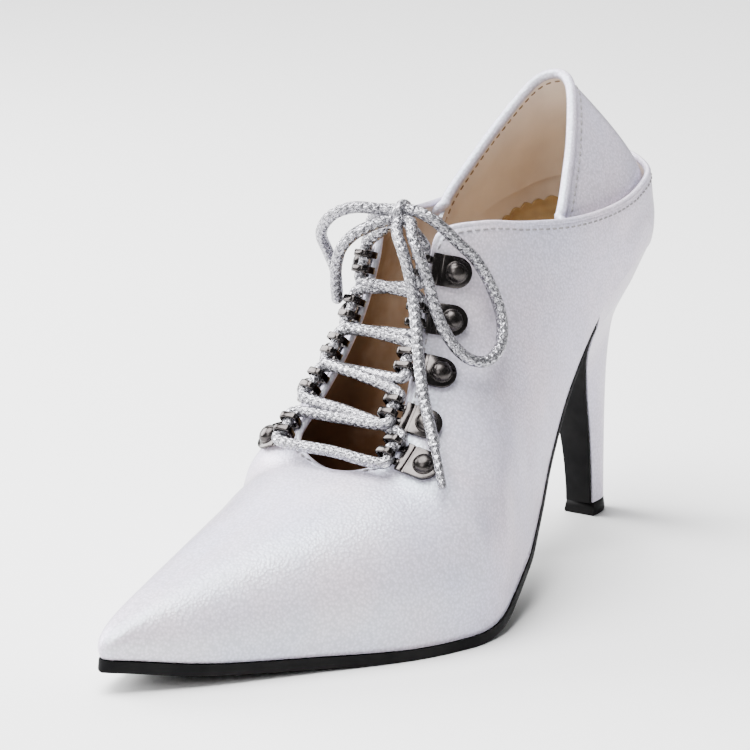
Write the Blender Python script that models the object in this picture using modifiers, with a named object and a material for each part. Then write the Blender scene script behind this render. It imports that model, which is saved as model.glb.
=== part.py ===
"""Pointed lace-up pump for the left foot: hollow upper, sole, stiletto heel, heel tab, lace guides and lace.

Units are metres with +Z up. The toe points along -Y and the outer side of the foot is +X. The origin is the
middle of the top lift's lower face, on the floor. Tables are in millimetres: "fore" is the distance forward
of the heel, "out" and "inn" are the x of the outer and inner side of the foot.
"""
import math

import bmesh
import bpy
import numpy as np
from mathutils import Matrix, Vector

MM = 0.001
GAP = 0.3
ORIGIN_FORE = 18.85
SHARP_ANGLE = math.radians(40)
WELD = 0.00001

# Wall and sheet thicknesses
UPPER_WALL = 1.8
TAB_WALL = 1.8
TAB_BINDING_RADIUS = 1.5
INSOLE_THICKNESS = 2.0
INSOLE_CHAMFER = 0.3
INSOLE_FIRST_ROW = 0.8
SOLE_THICKNESS_BALL = 3.0
SOLE_THICKNESS_WAIST = 1.3
SOLE_EDGE_BALL = 0.5
SOLE_CHAMFER = 0.6
SOLE_BALL_ROW = 6.0
CHAMFER_WIDTH_SHARE = 0.3

# The feather line, where the upper meets the sole, from the toe tip to the middle of the heel's back
FEATHER = [
    # fore, out, inn, z
    (232.8, -15.0, -15.0, 9.4),
    (227.0, -9.4, -19.4, 8.4),
    (212.0, 3.4, -22.6, 6.0),
    (190.0, 18.8, -27.0, 4.4),
    (168.5, 33.6, -32.0, 3.2),
    (152.0, 40.8, -36.0, 3.2),
    (142.0, 42.4, -36.0, 3.6),
    (134.0, 41.8, -34.4, 5.6),
    (126.0, 39.8, -31.5, 8.8),
    (118.5, 37.8, -28.2, 12.2),
    (112.0, 36.0, -25.6, 15.4),
    (106.0, 33.8, -23.3, 19.0),
    (97.0, 30.4, -20.3, 25.0),
    (83.5, 25.4, -17.4, 35.6),
    (66.5, 21.5, -17.0, 51.6),
    (48.5, 21.0, -19.2, 69.4),
    (30.5, 22.0, -21.6, 81.0),
    (14.5, 16.8, -16.6, 84.7),
    (5.5, 0.0, 0.0, 86.0),
]

# The upper's top line: the vamp ridge, then the throat slot's edge, then the collar
TOP = [
    # fore, out, inn, z
    (228.5, -14.6, -14.6, 17.2),
    (220.0, -13.4, -13.4, 20.8),
    (205.0, -11.0, -11.0, 26.4),
    (187.0, -7.8, -7.8, 32.8),
    (167.0, -3.6, -3.6, 39.2),
    (153.0, 0.5, 0.5, 43.1),
    (148.8, 14.2, -14.4, 47.2),
    (141.0, 13.4, -14.0, 56.6),
    (131.5, 10.6, -12.0, 68.6),
    (123.8, 8.8, -10.6, 81.0),
    (119.3, 7.6, -9.6, 93.5),
    (115.2, 9.0, -10.6, 102.2),
    (103.0, 15.2, -15.4, 103.5),
    (88.0, 19.6, -19.6, 101.4),
    (70.0, 23.8, -23.8, 99.9),
    (50.0, 25.0, -25.0, 100.3),
    (32.0, 23.0, -23.0, 102.6),
    (16.5, 17.0, -17.0, 106.4),
    (6.6, 0.0, 0.0, 108.8),
]
SLOT_ROW = 5
LAST_ROW = len(FEATHER) - 1
RING = 2 * LAST_ROW

# How each section's wall leaves the feather line and arrives at the top line
WALL_SHAPE = [
    # lean out at the foot (deg), fall below level at the top (deg), pull at the foot, pull at the top
    (30.0, 30.0, 0.45, 0.45),
    (20.0, 8.0, 0.42, 0.45),
    (13.0, 0.0, 0.42, 0.46),
    (10.0, 0.0, 0.44, 0.48),
    (8.0, 0.0, 0.45, 0.50),
    (8.0, -3.0, 0.45, 0.52),
    (8.0, 8.0, 0.45, 0.50),
    (6.0, 20.0, 0.42, 0.46),
    (4.0, 30.0, 0.40, 0.42),
    (0.0, 40.0, 0.38, 0.38),
    (-2.0, 50.0, 0.36, 0.36),
    (-3.0, 60.0, 0.35, 0.35),
    (-3.0, 70.0, 0.35, 0.35),
    (0.0, 78.0, 0.35, 0.35),
    (4.0, 86.0, 0.35, 0.35),
    (10.0, 88.0, 0.35, 0.35),
    (14.0, 86.0, 0.35, 0.35),
    (14.0, 82.0, 0.35, 0.35),
    (14.0, 78.0, 0.35, 0.35),
]
COLUMNS_PER_SECTION = 3
UPPER_ROWS = 7

# The covered heel below the seat, as inclined D-shaped sections from the seat to the top lift
HEEL_SECTIONS = [
    # z at the breast, z at the back, fore of the breast, fore of the back, half width, squareness
    (67.4, 85.7, 49.2, 5.7, 21.0, 2.7),
    (60.0, 77.5, 44.2, 8.0, 15.6, 2.6),
    (54.0, 69.5, 40.0, 11.2, 11.6, 2.5),
    (48.0, 61.0, 36.0, 13.2, 8.8, 2.4),
    (38.0, 48.0, 31.6, 14.2, 6.6, 2.4),
    (28.0, 33.0, 28.0, 14.2, 5.4, 2.4),
    (18.0, 20.0, 25.8, 13.9, 4.8, 2.4),
    (9.0, 9.5, 24.6, 13.6, 4.5, 2.4),
    (4.1, 4.1, 24.2, 13.5, 4.5, 2.4),
]
HEEL_BREAST_ROW = 14.95
HEEL_OUTLINE_STEPS = 9
TOP_LIFT_RINGS = [
    # z, flare past the heel
    (3.8, 0.0),
    (0.8, 0.5),
    (0.0, 0.2),
]
SEAT_INSET = 0.15

# The sole's flap down the heel's breast
FLAP_THICKNESS = 0.9
FLAP_EDGE_INSET = 0.36
FLAP_CORNER = [
    # fore, z, half width where the waist turns down into the flap
    (50.6, 67.0, 20.4),
    (49.7, 66.2, 20.0),
    (48.6, 64.6, 19.0),
]

# The heel tab's free edge, from the middle of the back to the outer corner, and its seat in the quarter
TAB_EDGE = [
    # x, fore, z, ring row that carries it
    (0.0, 40.0, 134.6, 18.0),
    (4.8, 41.9, 133.2, 17.3),
    (8.5, 45.8, 128.6, 16.6),
    (13.5, 54.5, 118.0, 15.7),
    (16.7, 61.9, 109.3, 15.0),
    (19.0, 67.9, 102.2, 14.5),
    (19.8, 72.0, 96.4, 14.1),
]
TAB_SEAT_HEIGHT = 0.72
TAB_START_HEIGHT = 0.95
TAB_FULLNESS = 0.22
TAB_TOP_PULL = 0.5
TAB_ROWS = 6
TAB_STEPS_PER_ROW = 2

# Two-loop lace guides: a plate with a domed rivet and two curled arms that reach over the slot
GUIDE_PLACES = {
    # number: ring row, inset from the slot's edge and turn (deg), on the outer side and on the inner side
    1: ((9.90, 4.2, 0.0), (9.83, 5.0, 0.0)),
    2: ((8.92, 4.4, -4.0), (8.83, 4.4, 0.0)),
    3: ((7.94, 4.2, 2.0), (8.02, 5.0, 0.0)),
    4: ((6.96, 3.4, 8.0), (7.30, 6.4, 0.0)),
    5: ((6.18, 6.6, -6.0), (6.26, 7.6, 0.0)),
}
NEAR_EDGE = 0.95
GUIDE_LIFT = 0.4
PLATE_WIDTH = 8.6
PLATE_THICKNESS = 0.9
PLATE_FRONT = 3.2
PLATE_END_STEPS = 8
RIVET_X = -3.6
RIVET_RADIUS = 2.8
RIVET_HEIGHT = 1.9
LOOP_X = 6.2
LOOP_Z = 2.3
LOOP_INNER = 2.0
LOOP_OUTER = 2.7
LOOP_STEPS = 8
ARM_WIDTH = 1.9
ARM_Y = 2.1
ARM_TAIL = 1.2
ARM_INSET = 0.1
ARM_START_DEG = -125.0
ARM_END_DEG = 165.0
RIVET_GAP = 0.1

# The round cord lace: bars between the guides, then the knot, loops and ends of the bow
LACE_RADIUS = 1.6
LACE_CLEAR = 5.0
LACE_CROSS_LIFT = 1.2
BAR_MIDDLE = (0.0, 154.0, 48.0)
KNOT_CENTRE = (1.0, 122.5, 107.0)
KNOT_SIZE = (4.6, 3.2, 3.2)
BOW_ROUTES = {
    # x, fore, z along each free stretch, from the knot outwards
    "lace_loop_outer": [
        (6.2, 123.0, 108.2),
        (9.4, 122.9, 107.1),
        (12.6, 121.3, 104.7),
        (15.6, 117.9, 100.2),
        (18.6, 113.0, 94.6),
        (21.4, 109.4, 86.8),
        (24.2, 108.8, 78.8),
        (26.6, 113.0, 72.4),
        (26.9, 120.0, 69.4),
        (24.4, 125.6, 70.8),
        (20.4, 128.2, 75.6),
        (16.5, 129.0, 83.0),
        (14.1, 129.4, 90.8),
        (11.6, 130.4, 98.6),
        (8.7, 128.8, 102.8),
        (6.2, 125.6, 105.4),
    ],
    "lace_end_outer": [
        (2.6, 127.2, 104.2),
        (4.6, 129.7, 102.2),
        (7.2, 131.2, 98.8),
        (9.6, 131.6, 92.4),
        (11.4, 132.2, 85.0),
        (14.0, 134.8, 78.2),
        (16.6, 137.5, 70.8),
        (19.8, 140.4, 63.4),
        (23.5, 143.1, 56.7),
        (27.0, 146.2, 52.2),
        (30.2, 149.0, 47.4),
        (32.8, 150.9, 42.2),
    ],
    "lace_loop_inner": [
        (-3.7, 123.8, 107.6),
        (-10.0, 127.4, 108.2),
        (-15.2, 129.2, 106.6),
        (-20.0, 128.0, 103.0),
        (-23.6, 124.6, 98.6),
        (-24.7, 120.2, 93.6),
        (-24.2, 117.3, 88.0),
        (-22.4, 118.9, 83.2),
        (-19.4, 123.2, 81.4),
        (-16.5, 127.6, 83.6),
        (-15.0, 130.2, 88.4),
        (-13.6, 131.7, 93.4),
        (-11.4, 132.2, 98.2),
        (-8.0, 130.4, 102.0),
        (-4.0, 126.4, 104.4),
    ],
    "lace_end_inner": [
        (-3.0, 120.0, 106.4),
        (-8.8, 117.0, 106.2),
        (-14.5, 113.0, 102.6),
        (-18.6, 109.6, 96.4),
        (-21.0, 107.6, 87.0),
        (-23.6, 107.6, 77.0),
        (-26.2, 109.6, 67.4),
        (-28.4, 112.4, 59.0),
        (-30.0, 114.6, 52.0),
    ],
}
BOW_STEPS_PER_POINT = 2

WHITE = (0.86, 0.86, 0.88)
BLACK = (0.015, 0.015, 0.016)
TAN = (0.62, 0.46, 0.33)
GUNMETAL = (0.12, 0.11, 0.105)
SILVER = (0.62, 0.62, 0.64)


def side_rows(table):
    """Both sides of a table as one ring of points: toe, outer side, heel back, inner side."""
    outer = [np.array((out, -fore, z)) for fore, out, inn, z in table]
    inner = [np.array((inn, -fore, z)) for fore, out, inn, z in table]
    return outer + inner[-2:0:-1]


FEATHER_RING = side_rows(FEATHER)
RIDGE = [np.array((out, -fore, z)) for fore, out, inn, z in TOP[: SLOT_ROW + 1]]
OPENING_RING = side_rows([TOP[SLOT_ROW]] + TOP[SLOT_ROW + 1 :])
SHAPE_ROWS = [np.array(row) for row in WALL_SHAPE]
PATH_ROWS = [np.array((-fore, z)) for fore, out, inn, z in FEATHER]
HEEL_ROWS = [np.array(row) for row in HEEL_SECTIONS]
UP = np.array((0.0, 0.0, 1.0))


def spline(rows, place, closed=False):
    """Smooth value at a fractional row number; a closed list runs round into itself."""
    count = len(rows)
    first = math.floor(place)
    if not closed:
        first = min(max(first, 0), count - 2)

    def row(index):
        if closed:
            return rows[index % count]
        if index < 0:
            return 2 * rows[0] - rows[1]
        if index >= count:
            return 2 * rows[-1] - rows[-2]
        return rows[index]

    a, b, c, d = (row(first + step) for step in (-1, 0, 1, 2))
    t = place - first
    return b + 0.5 * t * (c - a + t * (2 * a - 5 * b + 4 * c - d + t * (3 * (b - c) + d - a)))


def unit(vector):
    return vector / np.linalg.norm(vector)


def mirrored(place):
    """Section number of a place on the ring, counted from the toe on either side."""
    place = place % RING
    return min(place, RING - place)


def feather(place):
    return spline(FEATHER_RING, place, closed=True)


def outward(place):
    """Level direction that points out of the feather line."""
    step = 0.02
    along = feather(place + step) - feather(place - step)
    return unit(np.array((along[1], -along[0], 0.0)))


def top_line(place):
    section = mirrored(place)
    if section <= SLOT_ROW:
        return spline(RIDGE, section)
    return spline(OPENING_RING, place % RING - SLOT_ROW, closed=True)


def wall(place, height):
    """Point on the upper's outer face; height runs from 0 at the feather line to 1 at the top line."""
    low = feather(place)
    top = top_line(place)
    out = outward(place)
    lean, fall, pull_low, pull_top = spline(SHAPE_ROWS, mirrored(place))
    reach = np.linalg.norm(top - low)
    rise = UP * math.cos(math.radians(lean)) + out * math.sin(math.radians(lean))
    drop = out * math.cos(math.radians(fall)) - UP * math.sin(math.radians(fall))
    low_handle = low + rise * reach * pull_low
    top_handle = top + drop * reach * pull_top
    k = 1 - height
    bend = 3 * k * k * height * low_handle + 3 * k * height * height * top_handle
    return k**3 * low + bend + height**3 * top


def wall_normal(place, height):
    step = 0.02
    along = wall(place + step, height) - wall(place - step, height)
    upward = wall(place, min(height + step, 1)) - wall(place, max(height - step, 0))
    return unit(np.cross(along, upward))


def inside_wall(place, height, depth):
    return wall(place, height) - wall_normal(place, height) * depth


def to_world(point):
    return Vector((point[0], point[1] + ORIGIN_FORE, point[2])) * MM


def clear_scene():
    for item in list(bpy.data.objects):
        bpy.data.objects.remove(item, do_unlink=True)


def material(name, colour, roughness, metallic=0.0):
    made = bpy.data.materials.new(name)
    made.use_nodes = True
    shader = made.node_tree.nodes["Principled BSDF"]
    shader.inputs["Base Color"].default_value = (*colour, 1.0)
    shader.inputs["Roughness"].default_value = roughness
    shader.inputs["Metallic"].default_value = metallic
    return made


def add_object(name, data, finish=None):
    """Links a mesh or curve into the shoe's collection, with its material if it has one."""
    made = bpy.data.objects.new(name, data)
    if finish and not data.materials:
        data.materials.append(finish)
    SHOE.objects.link(made)
    return made


def mesh_from(name, points, faces):
    """Welded mesh from points in millimetres."""
    mesh = bpy.data.meshes.new(name)
    mesh.from_pydata([to_world(point) for point in points], [], faces)
    work = bmesh.new()
    work.from_mesh(mesh)
    bmesh.ops.remove_doubles(work, verts=work.verts, dist=WELD)
    bmesh.ops.dissolve_degenerate(work, edges=work.edges, dist=WELD)
    work.to_mesh(mesh)
    work.free()
    return mesh


def turn_outwards(mesh):
    work = bmesh.new()
    work.from_mesh(mesh)
    bmesh.ops.recalc_face_normals(work, faces=work.faces)
    work.to_mesh(mesh)
    work.free()


def grid_faces(columns, rows, closed):
    """Quads of a grid of columns, each with the same number of rows."""
    faces = []
    for column in range(columns if closed else columns - 1):
        after = (column + 1) % columns
        for row in range(rows - 1):
            faces.append(
                (column * rows + row, after * rows + row, after * rows + row + 1, column * rows + row + 1)
            )
    return faces


def loft(name, sections, finish):
    """Closed solid through rings of points with the same count, with flat ends."""
    size = len(sections[0])
    points = [point for section in sections for point in section]
    faces = []
    for index in range(len(sections) - 1):
        here = index * size
        after = here + size
        for step in range(size):
            following = (step + 1) % size
            faces.append((here + step, here + following, after + following, after + step))
    faces.append(tuple(range(size)))
    faces.append(tuple(range(len(points) - size, len(points))))
    mesh = mesh_from(name, points, faces)
    turn_outwards(mesh)
    mesh.shade_smooth()
    mesh.set_sharp_from_angle(angle=SHARP_ANGLE)
    return add_object(name, mesh, finish)


def thicken(item, thickness):
    """Gives an open surface a wall on its inner side."""
    modifier = item.modifiers.new("wall", "SOLIDIFY")
    modifier.thickness = thickness * MM
    modifier.offset = -1.0
    modifier.use_even_offset = True
    modifier.use_quality_normals = True


def make_upper(finish):
    count = RING * COLUMNS_PER_SECTION
    rows = UPPER_ROWS + 1
    points = []
    for column in range(count):
        for row in range(rows):
            points.append(wall(column / COLUMNS_PER_SECTION, row / UPPER_ROWS))
    mesh = mesh_from("upper", points, grid_faces(count, rows, closed=True))
    mesh.shade_smooth()
    upper = add_object("upper", mesh, finish)
    thicken(upper, UPPER_WALL)
    return upper


def sole_down(section):
    """Direction from the feather line through the sole, square to its profile."""
    step = 0.05
    along = spline(PATH_ROWS, section + step) - spline(PATH_ROWS, section - step)
    return unit(np.array((0.0, along[1], -along[0])))


def strip_section(section, edge, depth, thickness, chamfer):
    """Ring of a strip that lies under (depth > 0) or over the feather line at one section."""
    down = sole_down(section)
    outer = feather(section) + outward(section) * edge + down * depth
    inner = feather(RING - section) + outward(RING - section) * edge + down * depth
    inset = np.array((min(chamfer, (outer[0] - inner[0]) * CHAMFER_WIDTH_SHARE), 0.0, 0.0))
    side = down * (thickness - chamfer)
    full = down * thickness
    ring = [outer, inner, inner + side, inner + full + inset, outer + full - inset, outer + side]
    for point in ring:
        point[2] = max(point[2], 0.0)
    return ring


def sole_taper(section):
    """1 at the ball and toe, falling to 0 where the waist meets the heel."""
    return min(1.0, max(0.0, (HEEL_BREAST_ROW - section) / (HEEL_BREAST_ROW - SOLE_BALL_ROW)))


def heel_places():
    """Half rows of the heel table below the seat."""
    return [step / 2 for step in range(1, 2 * len(HEEL_ROWS) - 1)]


def flap_sections():
    """Rings of the sole's flap, which turns down the heel's breast and thins with it."""
    line = list(FLAP_CORNER)
    for place in heel_places()[1:]:
        z_front, z_back, fore_front, fore_back, half, square = spline(HEEL_ROWS, place)
        line.append((fore_front + GAP, z_front, half - GAP))
    sections = []
    for index, (fore, z, half) in enumerate(line):
        before = line[max(index - 1, 0)]
        after = line[min(index + 1, len(line) - 1)]
        facing = unit(np.array((0.0, after[1] - before[1], after[0] - before[0])))
        full = facing * FLAP_THICKNESS
        side = full / 2
        outer = np.array((half, -fore, z))
        inner = np.array((-half, -fore, z))
        inset = np.array((FLAP_EDGE_INSET, 0.0, 0.0))
        ring = [outer, inner, inner + side, inner + full + inset, outer + full - inset, outer + side]
        sections.append(ring)
    return sections


def make_outsole(finish):
    sections = []
    for step in range(int(HEEL_BREAST_ROW * COLUMNS_PER_SECTION)):
        section = step / COLUMNS_PER_SECTION
        taper = sole_taper(section)
        thickness = SOLE_THICKNESS_WAIST + (SOLE_THICKNESS_BALL - SOLE_THICKNESS_WAIST) * taper
        sections.append(strip_section(section, SOLE_EDGE_BALL * taper, GAP, thickness, SOLE_CHAMFER))
    return loft("outsole", sections + flap_sections(), finish)


def make_insole(finish):
    edge = -(UPPER_WALL + 2 * GAP)
    lift = -GAP - INSOLE_THICKNESS
    length = LAST_ROW - INSOLE_FIRST_ROW
    steps = int(length * COLUMNS_PER_SECTION)
    sections = []
    for step in range(steps + 1):
        section = INSOLE_FIRST_ROW + length * step / steps
        sections.append(strip_section(section, edge, lift, INSOLE_THICKNESS, INSOLE_CHAMFER))
    return loft("insole", sections, finish)


def d_outline(row):
    """Points of a D-shaped heel section, from the outer breast corner round the back to the inner one."""
    z_front, z_back, fore_front, fore_back, half, square = row
    points = []
    for step in range(-HEEL_OUTLINE_STEPS, HEEL_OUTLINE_STEPS + 1):
        share = 1 - math.cos(math.pi / 2 * abs(step) / HEEL_OUTLINE_STEPS)
        width = half * (1 - (1 - share) ** square) ** (1 / square)
        fore = fore_back + (fore_front - fore_back) * share
        z = z_back + (z_front - z_back) * share
        points.append(np.array((math.copysign(width, -step), -fore, z)))
    return points


def seat_outline():
    """The heel's top edge, just under the feather line."""
    points = []
    for step in range(-HEEL_OUTLINE_STEPS, HEEL_OUTLINE_STEPS + 1):
        share = math.copysign(1 - math.cos(math.pi / 2 * abs(step) / HEEL_OUTLINE_STEPS), step)
        place = LAST_ROW + share * (LAST_ROW - HEEL_BREAST_ROW)
        points.append(feather(place) - outward(place) * SEAT_INSET - UP * GAP)
    return points


def make_heel(finish):
    sections = [seat_outline()]
    for place in heel_places():
        sections.append(d_outline(spline(HEEL_ROWS, place)))
    return loft("heel", sections, finish)


def make_top_lift(finish):
    z_front, z_back, fore_front, fore_back, half, square = HEEL_SECTIONS[-1]
    sections = []
    for z, flare in TOP_LIFT_RINGS:
        sections.append(d_outline((z, z, fore_front + flare, fore_back - flare, half + flare, square)))
    return loft("top_lift", sections, finish)


def tab_column(place):
    """Points up the heel tab at a signed row of its edge table, from its seat to just under the binding."""
    rows = [np.array((x, -fore, z, ring)) for x, fore, z, ring in TAB_EDGE]
    mirror = [row * np.array((-1, 1, 1, -1)) + np.array((0, 0, 0, RING)) for row in rows]
    whole = mirror[:0:-1] + rows
    edge = spline(whole, place + len(rows) - 1)
    depth = UPPER_WALL + GAP
    seat = inside_wall(edge[3], TAB_SEAT_HEIGHT, depth)
    start = inside_wall(edge[3], TAB_START_HEIGHT, depth)
    low_handle = seat + unit(start - seat) * np.linalg.norm(edge[:3] - seat) * TAB_FULLNESS
    tip = edge[:3] + unit(low_handle - edge[:3]) * (TAB_BINDING_RADIUS + 2 * GAP)
    top_handle = tip + (low_handle - tip) * TAB_TOP_PULL
    points = []
    for row in range(TAB_ROWS + 1):
        t = row / TAB_ROWS
        k = 1 - t
        bend = 3 * k * k * t * low_handle + 3 * k * t * t * top_handle
        points.append(k**3 * seat + bend + t**3 * tip)
    return points, edge[:3]


def tab_places():
    last = len(TAB_EDGE) - 1
    steps = 2 * last * TAB_STEPS_PER_ROW
    return [last - index / TAB_STEPS_PER_ROW for index in range(steps + 1)]


def make_heel_tab(finish):
    points = []
    places = tab_places()
    for place in places:
        points.extend(tab_column(place)[0])
    mesh = mesh_from("heel_tab", points, grid_faces(len(places), TAB_ROWS + 1, closed=False))
    mesh.shade_smooth()
    tab = add_object("heel_tab", mesh, finish)
    thicken(tab, TAB_WALL)
    return tab


def tube(name, route, radius, finish=None):
    """Round bar along a route in millimetres."""
    curve = bpy.data.curves.new(name, "CURVE")
    curve.dimensions = "3D"
    curve.bevel_depth = radius * MM
    curve.bevel_resolution = 2
    curve.use_fill_caps = True
    line = curve.splines.new("POLY")
    line.points.add(len(route) - 1)
    for point, place in zip(line.points, route):
        point.co = (*to_world(place), 1.0)
    line.use_smooth = True
    return add_object(name, curve, finish)


def make_tab_binding(finish):
    route = [tab_column(place)[1] for place in tab_places()]
    return tube("tab_binding", route, TAB_BINDING_RADIUS, finish)


def nearest_on_wall(target, place, height):
    """Ring place and height of the wall's point nearest to a target close to it."""
    step = 0.01
    for _ in range(8):
        here = wall(place, height)
        along = (wall(place + step, height) - here) / step
        upward = (here - wall(place, height - step)) / step
        basis = np.stack((along, upward), axis=1)
        move = np.linalg.lstsq(basis, target - here, rcond=None)[0]
        place += move[0]
        height = min(max(height + move[1], 0.05), 1.0)
    return place, height


def guide_frame(number, side):
    """Middle of a guide's plate, with its directions across the slot, up the slot and out of the wall."""
    row, inset, turn_deg = GUIDE_PLACES[number][0 if side > 0 else 1]
    place = row if side > 0 else RING - row
    step = 0.05
    edge = top_line(place)
    up_slot = unit(top_line(place + side * step) - top_line(place - side * step))
    across = unit(np.cross(wall_normal(place, NEAR_EDGE), up_slot)) * side
    place, height = nearest_on_wall(edge - across * inset, place, NEAR_EDGE)
    out = wall_normal(place, height)
    across = unit(across - out * np.dot(across, out))
    up_slot = unit(np.cross(across, out)) * side
    turn = math.radians(turn_deg)
    turned = across * math.cos(turn) + up_slot * math.sin(turn)
    up_slot = up_slot * math.cos(turn) - across * math.sin(turn)
    return wall(place, height) + out * GUIDE_LIFT, turned, up_slot, out


def frame_matrix(middle, across, out):
    turn = Matrix((Vector(across), Vector(np.cross(out, across)), Vector(out))).transposed().to_4x4()
    return Matrix.Translation(to_world(middle)) @ turn


def prism(outline, low, high, upright):
    """Closed prism in millimetres: the outline lies in XY, or in XZ where it stands upright."""
    work = bmesh.new()
    if upright:
        corners = [work.verts.new((x * MM, low * MM, z * MM)) for x, z in outline]
        push = Vector((0, (high - low) * MM, 0))
    else:
        corners = [work.verts.new((x * MM, y * MM, low * MM)) for x, y in outline]
        push = Vector((0, 0, (high - low) * MM))
    face = work.faces.new(corners)
    made = bmesh.ops.extrude_face_region(work, geom=[face])
    moved = [item for item in made["geom"] if isinstance(item, bmesh.types.BMVert)]
    bmesh.ops.translate(work, verts=moved, vec=push)
    bmesh.ops.recalc_face_normals(work, faces=work.faces)
    mesh = bpy.data.meshes.new("prism")
    work.to_mesh(mesh)
    work.free()
    return mesh


def joined(name, meshes):
    """One closed mesh from several that overlap."""
    base = bpy.data.objects.new(name, meshes[0])
    SHOE.objects.link(base)
    helpers = []
    for mesh in meshes[1:]:
        helper = bpy.data.objects.new(name + "_piece", mesh)
        CUTTERS.objects.link(helper)
        helpers.append(helper)
        union = base.modifiers.new("union", "BOOLEAN")
        union.operation = "UNION"
        union.object = helper
    bpy.context.view_layer.update()
    seen = base.evaluated_get(bpy.context.evaluated_depsgraph_get())
    result = bpy.data.meshes.new_from_object(seen)
    for item in [base] + helpers:
        bpy.data.objects.remove(item, do_unlink=True)
    result.name = name
    return result


def plate_outline():
    """Plate seen from above: a half-round end about the rivet and a straight front."""
    half = PLATE_WIDTH / 2
    points = [(PLATE_FRONT, -half), (PLATE_FRONT, half)]
    for step in range(PLATE_END_STEPS + 1):
        angle = math.pi / 2 + math.pi * step / PLATE_END_STEPS
        points.append((RIVET_X + half * math.cos(angle), half * math.sin(angle)))
    return points


def arm_outline():
    """Curled arm seen from its end: from under the plate's front round the lace and back over it."""
    start = math.radians(ARM_START_DEG)
    end = math.radians(ARM_END_DEG)
    arc = [start + (end - start) * step / LOOP_STEPS for step in range(LOOP_STEPS + 1)]
    outer = [(LOOP_X + LOOP_OUTER * math.cos(a), LOOP_Z + LOOP_OUTER * math.sin(a)) for a in arc]
    inner = [(LOOP_X + LOOP_INNER * math.cos(a), LOOP_Z + LOOP_INNER * math.sin(a)) for a in reversed(arc)]
    tail_x = PLATE_FRONT - ARM_TAIL
    return [(tail_x, ARM_INSET)] + outer + inner + [(tail_x, PLATE_THICKNESS - ARM_INSET)]


def guide_mesh():
    pieces = [prism(plate_outline(), 0.0, PLATE_THICKNESS, upright=False)]
    for side in (-1, 1):
        middle = side * ARM_Y
        pieces.append(prism(arm_outline(), middle - ARM_WIDTH / 2, middle + ARM_WIDTH / 2, upright=True))
    return joined("lace_guide", pieces)


def rivet_mesh():
    """Low dome with a flat underside, centred on its own axis."""
    work = bmesh.new()
    bmesh.ops.create_uvsphere(work, u_segments=12, v_segments=6, radius=1.0)
    low = [vert for vert in work.verts if vert.co.z < -0.01]
    bmesh.ops.delete(work, geom=low, context="VERTS")
    bmesh.ops.holes_fill(work, edges=[edge for edge in work.edges if edge.is_boundary], sides=0)
    bmesh.ops.scale(work, verts=work.verts, vec=Vector((RIVET_RADIUS, RIVET_RADIUS, RIVET_HEIGHT)) * MM)
    bmesh.ops.recalc_face_normals(work, faces=work.faces)
    mesh = bpy.data.meshes.new("rivet")
    work.to_mesh(mesh)
    work.free()
    return mesh


def make_guides(finish):
    plate = guide_mesh()
    dome = rivet_mesh()
    for number in GUIDE_PLACES:
        for side, label in ((1, "outer"), (-1, "inner")):
            middle, across, up_slot, out = guide_frame(number, side)
            placed = frame_matrix(middle, across, out)
            guide = add_object(f"lace_guide_{label}_{number}", plate, finish)
            guide.matrix_world = placed
            rivet = add_object(f"rivet_{label}_{number}", dome, finish)
            seat = Vector((RIVET_X, 0.0, PLATE_THICKNESS + RIVET_GAP)) * MM
            rivet.matrix_world = placed @ Matrix.Translation(seat)


def lace_place(number, side, along):
    """Point on the lace's line through a guide's loops, a signed distance up the slot."""
    middle, across, up_slot, out = guide_frame(number, side)
    return middle + across * LOOP_X + out * LOOP_Z + up_slot * along


def tube_mesh(name, route, radius):
    """Closed round bar as a welded mesh, ready to be joined."""
    curve = tube(name, route, radius)
    bpy.context.view_layer.update()
    mesh = bpy.data.meshes.new_from_object(curve.evaluated_get(bpy.context.evaluated_depsgraph_get()))
    bpy.data.objects.remove(curve, do_unlink=True)
    work = bmesh.new()
    work.from_mesh(mesh)
    bmesh.ops.remove_doubles(work, verts=work.verts, dist=WELD)
    bmesh.ops.recalc_face_normals(work, faces=work.faces)
    work.to_mesh(mesh)
    work.free()
    return mesh


def crossing_route(number, side, lift):
    """One strand of a crossing, from a guide's upper end to the lower end of the next one opposite."""
    start = lace_place(number, side, LACE_CLEAR)
    end = lace_place(number - 1, -side, -LACE_CLEAR)
    out = guide_frame(number, side)[3] + guide_frame(number - 1, -side)[3]
    middle = (start + end) / 2 + unit(out) * lift
    return [start, (start + middle) / 2, middle, (middle + end) / 2, end]


def make_lace_bars(finish):
    ends = [lace_place(5, side, -LACE_CLEAR) for side in (1, -1)]
    middle = np.array((BAR_MIDDLE[0], -BAR_MIDDLE[1], BAR_MIDDLE[2]))
    route = [ends[0], (ends[0] + middle) / 2, middle, (middle + ends[1]) / 2, ends[1]]
    tube("lace_bar", route, LACE_RADIUS, finish)
    for number in (5, 4, 3, 2):
        strands = []
        for side, lift in ((1, LACE_CROSS_LIFT), (-1, 0.0)):
            strands.append(tube_mesh("strand", crossing_route(number, side, lift), LACE_RADIUS))
        add_object(f"lace_crossing_{number}", joined("lace_crossing", strands), finish)


def make_knot(finish):
    """The knot with the two strands that rise to it from the top guides."""
    centre = np.array((KNOT_CENTRE[0], -KNOT_CENTRE[1], KNOT_CENTRE[2]))
    work = bmesh.new()
    bmesh.ops.create_uvsphere(work, u_segments=12, v_segments=8, radius=1.0)
    bmesh.ops.scale(work, verts=work.verts, vec=Vector(KNOT_SIZE) * MM)
    bmesh.ops.translate(work, verts=work.verts, vec=to_world(centre))
    body = bpy.data.meshes.new("knot")
    work.to_mesh(body)
    work.free()
    pieces = [body]
    for side in (1, -1):
        start = lace_place(1, side, LACE_CLEAR)
        pieces.append(tube_mesh("strand", [start, (start + centre) / 2, centre], LACE_RADIUS))
    add_object("lace_knot", joined("lace_knot", pieces), finish)


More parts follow.
